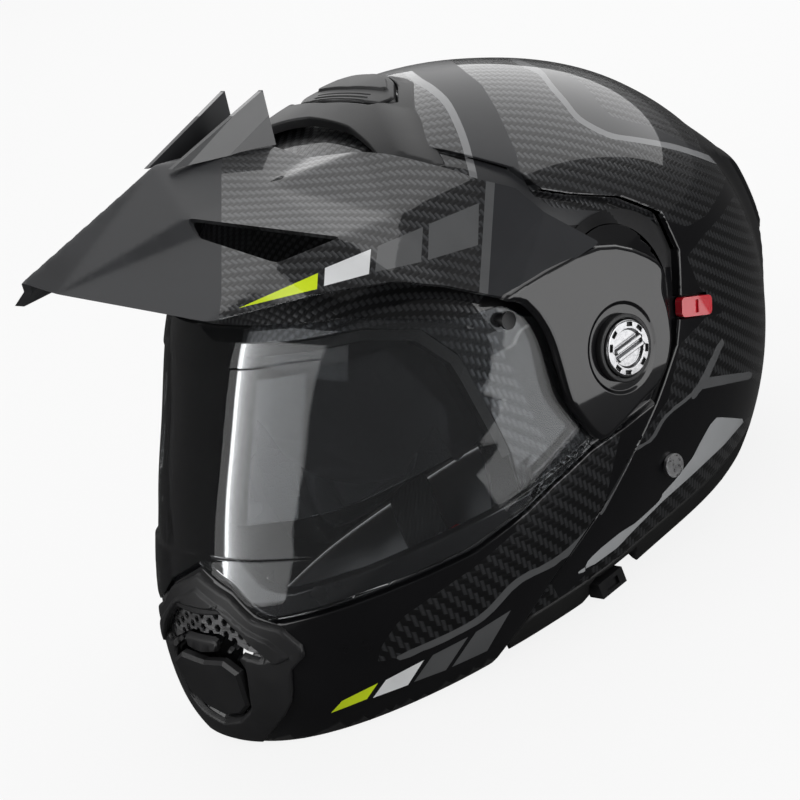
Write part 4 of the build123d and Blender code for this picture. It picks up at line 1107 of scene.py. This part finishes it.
fin_corners = ((8, -106, 142.5), (13, -54, 128), (13, -49.5, 152.8))
fin_wall, fin_cells = 3.0, 30
fin_fields = (
    (((271, 113), (209, 176), (300, 190), (320, 120)), CHARCOAL),
    (((262, 90), (271, 113), (209, 176), (182, 172), (244, 104)), GREY),
)
for fin_side, sign in (("left", 1), ("right", -1)):
    fin = plain_skin(*facet_grid([(sign * (x + fin_wall), y, z) for x, y, z in fin_corners], fin_cells))
    fin.paint(everywhere, MATTE)
    for points, colour in fin_fields:
        fin.paint(seen(points), colour)
    fin_piece = plain_solid(
        f"peak_fin_{fin_side}", fin, lambda p, sign=sign: p - [sign * fin_wall, 0, 0], paints, matte, 30.0
    )
    dress(fin_piece, "chin_guard", [])

# Plates beside the knobs, joined to the peak
plate = (
    (-48, 53), (-41, 45), (-36, 34), (-34.5, 23), (-35.5, 10), (-37, -5), (-35.5, -13), (-31, -27), (-25, -32),
    (-9, -30), (3, -28), (13, -26.5), (22, -21), (29, -12), (33, 0), (34, 10), (37, 24), (8, 47),
)


def flat_skin(level, sign, low, high, step, facing=1.0):
    """Skin on a flat that faces sideways, over a range of (y, z)."""
    ys = np.arange(low[0], high[0] + step, step)
    zs = np.arange(low[1], high[1] + step, step)
    params = [(sign * level, y, z) for y in ys for z in zs]
    skin = Skin(params, grid_faces(len(ys), len(zs)), lambda p: p)
    skin.surface = lambda p, h, n: p + np.stack([sign * h, h * 0, h * 0], 1)
    skin.nudges = ([0, 0.02, 0], [0, -0.02, 0], [0, 0, 0.02], [0, 0, -0.02])
    skin.facing = facing
    return skin


def flat_back(level, sign):
    return lambda p: np.stack([np.full(len(p), sign * level), p[:, 1], p[:, 2]], 1)


def ring_of(low, high):
    """Between two radii about the knob axis."""
    return lambda x, y, z: np.minimum(np.hypot(y, z) - low, high - np.hypot(y, z))


for plate_side, sign in (("left", 1), ("right", -1)):
    skin = flat_skin(plate_out, sign, (-52, -36), (40, 56), 2.0)
    skin.trim(both(side(smooth_line(plate, True, 4)), lambda x, y, z: np.hypot(y, z) - 5.06), 2.4)
    skin.relief(ring_of(0.0, 21.0), (-0.8, 0.0), 2.0)
    piece = solid(f"side_plate_{plate_side}", skin, flat_back(plate_in, sign), paints, satin)
    dress(piece, "chin_guard", [])

# Knob rings and knobs
ring_level, knob_level = plate_out + 2.6, plate_out + 4.3
ring_inner, ring_outer, knob_radius, knob_dish = 13.2, 15.3, 12.8, 9.0
knob_cuts = [math.radians(a) for a in (28, 62, 118, 152, 208, 242, 298, 332)]
cut_half, cut_inner, cut_outer = 1.7, 9.9, 11.6
slot_lines, slot_half, slot_wide_half = (-1.75, 1.75), 8.7, 1.15


def cut_field(at):
    """Inside one radial cut in the knob's rim."""
    a, b = math.cos(at), math.sin(at)
    return lambda x, y, z: np.minimum(
        np.minimum(y * a + z * b - cut_inner, cut_outer - np.hypot(y, z)), cut_half - np.abs(z * a - y * b)
    )


def shaded_cut_floors(x, y, z):
    """Inside the floors of all the cuts, coloured satin black as painted shade."""
    beside = [
        1.6 - np.abs(z * math.cos(at) - y * math.sin(at))
        + np.where(y * math.cos(at) + z * math.sin(at) > 0, 0.0, -99.0)
        for at in knob_cuts
    ]
    return np.minimum(ring_of(9.7, 11.8)(x, y, z), np.maximum.reduce(beside))


for knob_side, sign in (("left", 1), ("right", -1)):
    skin = flat_skin(ring_level, sign, (-16, -16), (16, 16), 0.8)
    skin.trim(ring_of(ring_inner, ring_outer), 0.6)
    piece = solid(f"knob_ring_{knob_side}", skin, flat_back(plate_out - 0.7, sign), [satin])
    dress(piece, "chin_guard", ["knob_rings"] if sign > 0 else [])
    skin = flat_skin(knob_level, sign, (-13.6, -13.6), (13.6, 13.6), 0.68)
    skin.trim(ring_of(-20.0, knob_radius), 1.0)
    skin.relief(ring_of(-20.0, knob_dish), (-1.8, 0.0), 1.0)
    for at in knob_cuts:
        skin.relief(cut_field(at), (-1.3, 0.0), 0.4)
    for line in slot_lines:
        skin.relief(
            lambda x, y, z, line=line: np.minimum(slot_half - np.abs(y), slot_wide_half - np.abs(z - line)),
            (2.6, 0.0), 0.5,
        )
    # Painted shade: the floors of the cuts take the satin black
    skin.paint(shaded_cut_floors, 1)
    piece = solid(f"knob_{knob_side}", skin, flat_back(plate_out + 0.3, sign), [chrome, satin])
    dress(piece, f"knob_{knob_side}", [f"side_knob_{knob_side}"])

# Top vent: a smooth scoop that rises from the back to a lip, and its slider
scoop = (
    (0, -20), (30, -22.5), (46, -27), (60, -32), (70, -28), (75, -14), (60, -5), (42, 6), (22, 25), (14, 28), (0, 31),
)
scoop_rise = ((0, -70), (62, -70), (78, -28), (76, -14), (60, -5), (42, 6), (22, 25), (14, 28), (0, 31))
slide = ((0, -5), (30, -3), (34, 3), (22, 15), (10, 21), (0, 22))
slide_crown = ((0, 4), (24, 5), (27, 7), (18, 15), (9, 18.5), (0, 19))
slide_grips, grip_half, grip_reach = (-3.2, -0.8, 1.6), 0.55, 20
slide_room = ((0, -9.5), (30.4, -7.5), (34.6, -1.2), (34.6, 3.2), (22.3, 15.5), (10, 21.5), (0, 22.5))
vent = form_skin(shell_kind, recess_half, 0.0, 150, 420)
vent.trim(both(top_view(scoop), outside(top_view(slide_room))), 0.9)
vent.reliefs.append((everywhere, (0.9, -0.9), 1.0))
vent.swell(top_view(scoop_rise), (0.0, -7.6), 17.0)


def vent_back(params):
    low = on_form(shell_kind, params, recess_half, 0.0)
    high = on_form(shell_kind, params, recess_half, -3.6)
    x, y, z = low.T
    open_part = np.clip(np.minimum(-6 - y, 52 - np.abs(x)) / 2.0, 0, 1)[:, None]
    return low * (1 - open_part) + high * open_part


vent_piece = solid("top_scoop", vent, vent_back, [satin])
dress(vent_piece, "helmet", ["top_vent_housing"])
slider = form_skin(shell_kind, recess_half, -6.0, 150, 420)
slider.trim(top_view(slide), 1.2)
slider.relief(top_view(slide_crown), (1.4, -1.4), 1.6)
for grip in slide_grips:
    slider.relief(
        lambda x, y, z, grip=grip: np.minimum(
            np.minimum(grip_half - np.abs(y - grip), grip_reach - np.abs(x)), z - 60
        ), (0.0, 0.5), 0.35,
    )
slider_piece = solid("top_slider", slider, form_back((shell_kind, recess_half, -2.2)), [satin])
dress(slider_piece, "top_vent_slide", ["top_vent_slider"])

# Spoiler across the back, with its room as angles about the knob axis and as a reach to the sides
spoiler_turns, spoiler_fades, spoiler_reach, spoiler_fade = (163, 200), (14.0, 17.0), 84, 18.0
spoiler = form_skin(shell_kind, shell_half, 0.0, 130, 320)


def spoiler_room(x, y, z):
    turn = np.degrees(np.arctan2(z, -y)) % 360
    low, high = (turn - spoiler_turns[0]) / spoiler_fades[0], (spoiler_turns[1] - turn) / spoiler_fades[1]
    return 40.0 * np.minimum(np.minimum(low, high), (spoiler_reach - np.abs(x)) / spoiler_fade)


spoiler.trim(spoiler_room, 0.0)
spoiler.swell(spoiler_room, (4.0, -6.5), 40.0)
spoiler.relief(lambda x, y, z: spoiler_room(x, y, z) - 26, (1.0, -1.2), 6.0)
spoiler_piece = solid("spoiler", spoiler, form_back((shell_kind, shell_half - 1.0, 1.0)), [black])
dress(spoiler_piece, "helmet", ["rear_spoiler"])

# Comfort pads: stuffed shapes with rounded edges and sewn seams, facing the head
cheek = ((-54, -84), (-50, -40), (-40, -16), (-18, -6), (8, -14), (12, -40), (4, -84))
cheek_middle = ((-44, -76), (-41, -44), (-33, -26), (-18, -18), (0, -24), (3, -42), (-4, -76))
head_half, head_inset = 83.7, 33.8
for pad_side, sign in (("left", 1), ("right", -1)):
    outline_now = side(smooth_line(cheek, True, 5))
    skin = flat_skin(64.0, sign, (-60, -90), (18, 0), 1.5)
    skin.surface = lambda p, h, n, sign=sign: p - np.stack([sign * h, h * 0, h * 0], 1)
    skin.trim(outline_now, 5.0)
    skin.swell(outline_now, (3.0, 0.0), 20.0)
    middle_field = side(smooth_line(cheek_middle, True, 5))
    skin.relief(lambda x, y, z: 0.9 - np.abs(middle_field(x, y, z)), (-1.3, 0.0), 0.8)
    skin.swell(lambda x, y, z: 5.0 - np.abs(middle_field(x, y, z)), (-1.2, 0.0), 5.0)
    skin.paint(middle_field, 1)

    def cheek_back(p, sign=sign):
        r = np.hypot(p[:, 1], p[:, 2])
        turn = np.degrees(np.arctan2(p[:, 2], -p[:, 1]))
        full = shell_kind[0](turn) - head_inset
        fill = shell_kind[1](turn)
        share = np.maximum(0.0, 1 - np.minimum(r / full, 0.999) ** fill) ** (1 / sweep_power)
        return np.stack([sign * np.maximum(share * head_half, 65.5), p[:, 1], p[:, 2]], 1)

    pad_piece = solid(f"cheek_cushion_{pad_side}", skin, cheek_back, [pad_cloth, liner_cloth])
    dress(pad_piece, "helmet", [f"cheek_pad_{pad_side}"])

crown_outline = ((-160, 70), (-78, 60), (-20, 12), (30, -18), (160, -40), (160, 160), (-160, 160))
crown = form_skin(shell_kind, head_half - 8.0, head_inset + 8.0)
crown.facing = -1.0
crown.trim(side(crown_outline), 3.5)
seam_half, panel_edge, outer_seam, cross_seam = 0.8, 24.0, 58.0, 12.0
seams = (
    lambda x, y, z: seam_half - np.abs(np.abs(x) - panel_edge),
    lambda x, y, z: seam_half - np.abs(np.abs(x) - outer_seam),
    lambda x, y, z: seam_half - np.abs(y - cross_seam),
)
for seam in seams:
    crown.relief(seam, (0.9, -0.9), 0.7)
    crown.swell(lambda x, y, z, seam=seam: seam(x, y, z) + 5.0, (1.2, -1.2), 5.0)
crown.paint(lambda x, y, z: panel_edge - np.abs(x), 1)
crown_piece = solid("crown_cushion", crown, form_back((shell_kind, head_half, head_inset)), [pad_cloth, liner_cloth])
dress(crown_piece, "helmet", ["crown_pad"])


roll_half, roll_reach, roll_middle, roll_low, roll_high = 64.0, 88.0, 12, -86, -64
roll_front = 24.0


def roll_place(p, half=roll_half, reach=roll_reach):
    turn = np.radians(p[:, 0])
    return np.stack([half * np.sin(turn), roll_middle + reach * np.cos(turn), p[:, 1]], 1)


def roll_field(x, y, z):
    return np.minimum(np.minimum(z - roll_low, roll_high - z), y - roll_front)


roll_wide = 12
roll_rows = [
    (t, z, 0.0) for t in np.arange(-81.0, 81.1, 1.5) for z in np.linspace(roll_low, roll_high, roll_wide)
]
roll = Skin(roll_rows, grid_faces(len(roll_rows) // roll_wide, roll_wide), roll_place)
roll.surface = lambda p, h, n: roll_place(p, roll_half - h, roll_reach - h)
roll.nudges = ([0.02, 0, 0], [-0.02, 0, 0], [0, 0.02, 0], [0, -0.02, 0])
roll.trim(lambda x, y, z: roll_field(x, y, z) - 0.05, 4.0)
roll.swell(roll_field, (1.5, 0.0), 10.0)
roll_piece = solid("neck_cushion", roll, lambda p: roll_place(p, 68.6, 99.5), [pad_cloth])
dress(roll_piece, "helmet", ["neck_roll"])

# Cloth skirt under the chin, stretched between the chin bar's lower edge and its hem
skirt_level, skirt_middle, skirt_hem, skirt_limit = -102.0, -62, 92.0, 140
skirt_turn, skirt_cells, skirt_across = 64, 10, 90
wall_half, wall_inset, wall_gap, reach_step = 119.2, 10.9, 0.3, 0.25
skirt_trim_half, skirt_trim_front, skirt_back = 17.8, -168.2, -100


def inside_wall(x, y):
    """Whether a place at the skirt's level lies within the chin bar's inner wall."""
    turn = np.degrees(math.atan2(skirt_level, -y))
    full = float(chin_kind[0](turn)) - wall_inset
    share = min(1.0, math.hypot(y, skirt_level) / full) ** float(chin_kind[1](turn))
    return abs(x) <= wall_half * max(0.0, 1 - share) ** (1 / sweep_power)


skirt_rows = []
for i in range(skirt_across + 1):
    turn = math.radians(-skirt_turn + 2 * skirt_turn * i / skirt_across)
    d = np.array([math.sin(turn), -math.cos(turn)])
    outer = skirt_hem
    while outer < skirt_limit and inside_wall(*(d * outer + [0, skirt_middle])):
        outer += reach_step
    for j in range(skirt_cells + 1):
        reach_now = skirt_hem + (outer - wall_gap - skirt_hem) * j / skirt_cells
        x, y = d * reach_now + [0, skirt_middle]
        loose = 1 - j / skirt_cells
        wave = 0.9 * math.sin(turn * 21) * loose + 0.5 * math.sin(turn * 47 + 1) * loose
        skirt_rows.append((x, y, skirt_level + wave + 0.6))
skirt = plain_skin(skirt_rows, grid_faces(skirt_across + 1, skirt_cells + 1))
skirt.trim(lambda x, y, z: np.minimum(
    np.maximum(np.abs(x) - skirt_trim_half, y - skirt_trim_front), skirt_back - y
), 0.0)
skirt_piece = plain_solid("chin_skirt", skirt, lambda p: p - [0, 0, 1.2], [pad_cloth], None, 60.0)
dress(skirt_piece, "chin_guard", ["chin_curtain"])
for f, _ in skirt.faces:
    corners = [Vector(skirt.params[c]) for c in f]


# Chin straps of woven webbing, with a bound edge
def webbing_band(name, route, width, thickness):
    centre = np.array(smooth_line(route, False, 8))
    rows = []
    profile = [
        (-1, 0.35), (-0.96, 0.8), (-0.86, 1), (-0.8, 0.7), (0, 0.8), (0.8, 0.7), (0.86, 1), (0.96, 0.8), (1, 0.35),
    ]
    ring = profile + [(u, -v) for u, v in reversed(profile)]
    for i, here in enumerate(centre):
        ahead = centre[min(i + 1, len(centre) - 1)] - centre[max(i - 1, 0)]
        ahead /= np.linalg.norm(ahead)
        wide = np.array([0.0, 1.0, 0.0])
        wide -= ahead * (ahead @ wide)
        wide /= np.linalg.norm(wide)
        thick = np.cross(ahead, wide)
        for u, v in ring:
            rows.append(tuple(here + wide * u * width / 2 + thick * v * thickness / 2))
    n = len(ring)
    faces = [
        (i * n + j, i * n + (j + 1) % n, (i + 1) * n + (j + 1) % n, (i + 1) * n + j)
        for i in range(len(centre) - 1) for j in range(n)
    ]
    faces += [tuple(range(n))[::-1], tuple(range((len(centre) - 1) * n, len(centre) * n))]
    mesh = bpy.data.meshes.new(name)
    mesh.from_pydata(((np.array(rows) + pivot) * MM).tolist(), [], faces)
    mesh.materials.append(webbing)
    smooth_outwards(mesh, 50)
    return add_piece(name, mesh)


strap_route = ((106.5, 12, -66), (105, 12, -80), (99, 12, -92), (80, 4, -94), (45, -20, -97), (22, -34, -99))
for strap_side, sign in (("left", 1), ("right", -1)):
    band = webbing_band(f"strap_{strap_side}", [(sign * x, y, z) for x, y, z in strap_route], 22.0, 1.9)
    dress(band, "helmet", [f"chin_strap_{strap_side}"])

# CAD pieces that keep their shape get their finish and softened corners
finishes = {
    "eps_liner": bead_foam, "brow_seal": rubber, "hinge_pins": steel, "visor_pivots": steel,
    "striker_pins": steel, "strap_rivets": steel, "lock_slider": red, "sun_visor_lever": satin,
    "chin_liner": bead_foam, "chin_vent_mesh": mesh_silver, "chin_vent_slider": satin, "breath_deflector": rubber,
    "release_button": satin, "shield_insert": clear, "shield_pins": satin, "buckle_housing": steel,
    "buckle_tongue": steel, "buckle_lever": red,
}
softened = {
    "lock_slider": 0.9, "sun_visor_lever": 0.8, "chin_vent_slider": 0.5, "release_button": 0.6, "strap_rivets": 0.7,
    "buckle_housing": 0.6, "buckle_lever": 0.5, "shield_pins": 0.4, "breath_deflector": 0.6,
}
for node_name, material in finishes.items():
    node = nodes[node_name]
    if node.material_slots:
        for slot in node.material_slots:
            slot.material = material
    else:
        node.data.materials.append(material)
    if node_name in softened:
        bevel = node.modifiers.new("softened", "BEVEL")
        bevel.width = softened[node_name] * MM
        bevel.segments = 3
        bevel.limit_method = "ANGLE"
        bevel.angle_limit = math.radians(25)

# Camera
camera_data = bpy.data.cameras.new("camera")
camera = add_piece("camera", camera_data)
camera_data.sensor_width = 36.0
camera_data.lens = 36.0 * focal_pixels / frame_pixels
camera_data.clip_end = 20.0
turn = Matrix([[view_right[i], view_up[i], view_back[i]] for i in range(3)]).to_4x4()
camera.matrix_world = Matrix.Translation(Vector((camera_at + pivot) * MM)) @ turn
bpy.context.scene.camera = camera

# Floor: white to the camera, and to polished surfaces bright only beside the wearer's left, a painted glow that shows
# in their reflections as if from a lamp
floor_mesh = bpy.data.meshes.new("floor")
floor_reach = 3.0
floor_corners = [(u * floor_reach, v * floor_reach, 0) for u, v in ((-1, -1), (1, -1), (1, 1), (-1, 1))]
floor_mesh.from_pydata(floor_corners, [], [(0, 1, 2, 3)])
wedge_middle, wedge_half, wedge_start, wedge_level, floor_level = 100, 26, 0.34, 2.2, 0.05
floor = add_piece("floor", floor_mesh)
floor_material, floor_tree, floor_shader = new_material("pale_floor", (0.80, 0.80, 0.80), 0.6)
path = add_node(floor_tree, "ShaderNodeLightPath")
glow = add_node(floor_tree, "ShaderNodeEmission")
direct_view = math_node(floor_tree, "LESS_THAN", path.outputs["Transparent Depth"], 0.5)
camera_view = math_node(floor_tree, "MULTIPLY", path.outputs["Is Camera Ray"], direct_view)
place = add_node(floor_tree, "ShaderNodeNewGeometry").outputs["Position"]
apart = add_node(floor_tree, "ShaderNodeSeparateXYZ")
floor_tree.links.new(place, apart.inputs[0])
bearing = math_node(floor_tree, "ARCTAN2", apart.outputs[0], math_node(floor_tree, "MULTIPLY", apart.outputs[1], -1.0))
off_middle = math_node(floor_tree, "SUBTRACT", bearing, math.radians(wedge_middle))
from_middle = math_node(floor_tree, "ABSOLUTE", off_middle)
in_wedge = math_node(floor_tree, "LESS_THAN", from_middle, math.radians(wedge_half))
out_there = math_node(
    floor_tree, "GREATER_THAN", math_node(floor_tree, "SQRT", math_node(
        floor_tree, "ADD", math_node(floor_tree, "MULTIPLY", apart.outputs[0], apart.outputs[0]),
        math_node(floor_tree, "MULTIPLY", apart.outputs[1], apart.outputs[1]),
    )), wedge_start
)
in_wedge = math_node(floor_tree, "MULTIPLY", in_wedge, out_there)
# Painted glow: the wedge shines in reflections, though no lamp is there
glossy_level = math_node(floor_tree, "ADD", math_node(floor_tree, "MULTIPLY", in_wedge, wedge_level), floor_level)
glossy_view = math_node(floor_tree, "MULTIPLY", path.outputs["Is Glossy Ray"], glossy_level)
floor_tree.links.new(math_node(floor_tree, "MAXIMUM", camera_view, glossy_view), glow.inputs["Strength"])
shown_share = math_node(
    floor_tree, "MAXIMUM", math_node(floor_tree, "MULTIPLY", camera_view, 0.86), path.outputs["Is Glossy Ray"]
)
tree_out = floor_tree.nodes["Material Output"]
join = add_node(floor_tree, "ShaderNodeMixShader")
floor_tree.links.new(shown_share, join.inputs[0])
floor_tree.links.new(floor_shader.outputs[0], join.inputs[1])
floor_tree.links.new(glow.outputs[0], join.inputs[2])
floor_tree.links.new(join.outputs[0], tree_out.inputs["Surface"])
floor_mesh.materials.append(floor_material)

# White surroundings for the camera, and for what is seen through clear plastic
world = bpy.data.worlds.new("studio")
bpy.context.scene.world = world
world.use_nodes = True
sky = world.node_tree
background = sky.nodes["Background"]
background.inputs["Color"].default_value = (1, 1, 1, 1)
light_path = add_node(sky, "ShaderNodeLightPath")
direct = math_node(sky, "MAXIMUM", light_path.outputs["Is Camera Ray"], light_path.outputs["Is Transmission Ray"])
shiny = math_node(sky, "MULTIPLY", light_path.outputs["Is Glossy Ray"], 0.12)
level = math_node(sky, "MAXIMUM", math_node(sky, "MAXIMUM", direct, shiny), 0.10)
sky.links.new(level, background.inputs["Strength"])


def panel(name, place, aim, size, radiance):
    """Soft box of a given brightness."""
    data = bpy.data.lights.new(name, "AREA")
    data.shape = "RECTANGLE"
    data.size, data.size_y = size
    data.energy = radiance * math.pi * size[0] * size[1]
    holder = add_piece(name, data)
    holder.location = place
    towards = Vector(aim) - Vector(place)
    holder.rotation_euler = towards.to_track_quat("-Z", "Y").to_euler()


panel("back_box", (-0.46, 0.9, 1.08), (0.0, 0.0, 0.15), (2.7, 2.0), 1.3)
panel("left_box", (1.05, 0.19, 0.36), (0.0, 0.0, 0.12), (0.9, 0.6), 2.6)
panel("front_box", (-0.36, -1.10, 0.76), (0.0, 0.0, 0.12), (1.2, 0.9), 2.2)
panel("top_fill", (0.0, -0.46, 1.55), (0.0, 0.0, 0.12), (1.0, 0.6), 1.0)
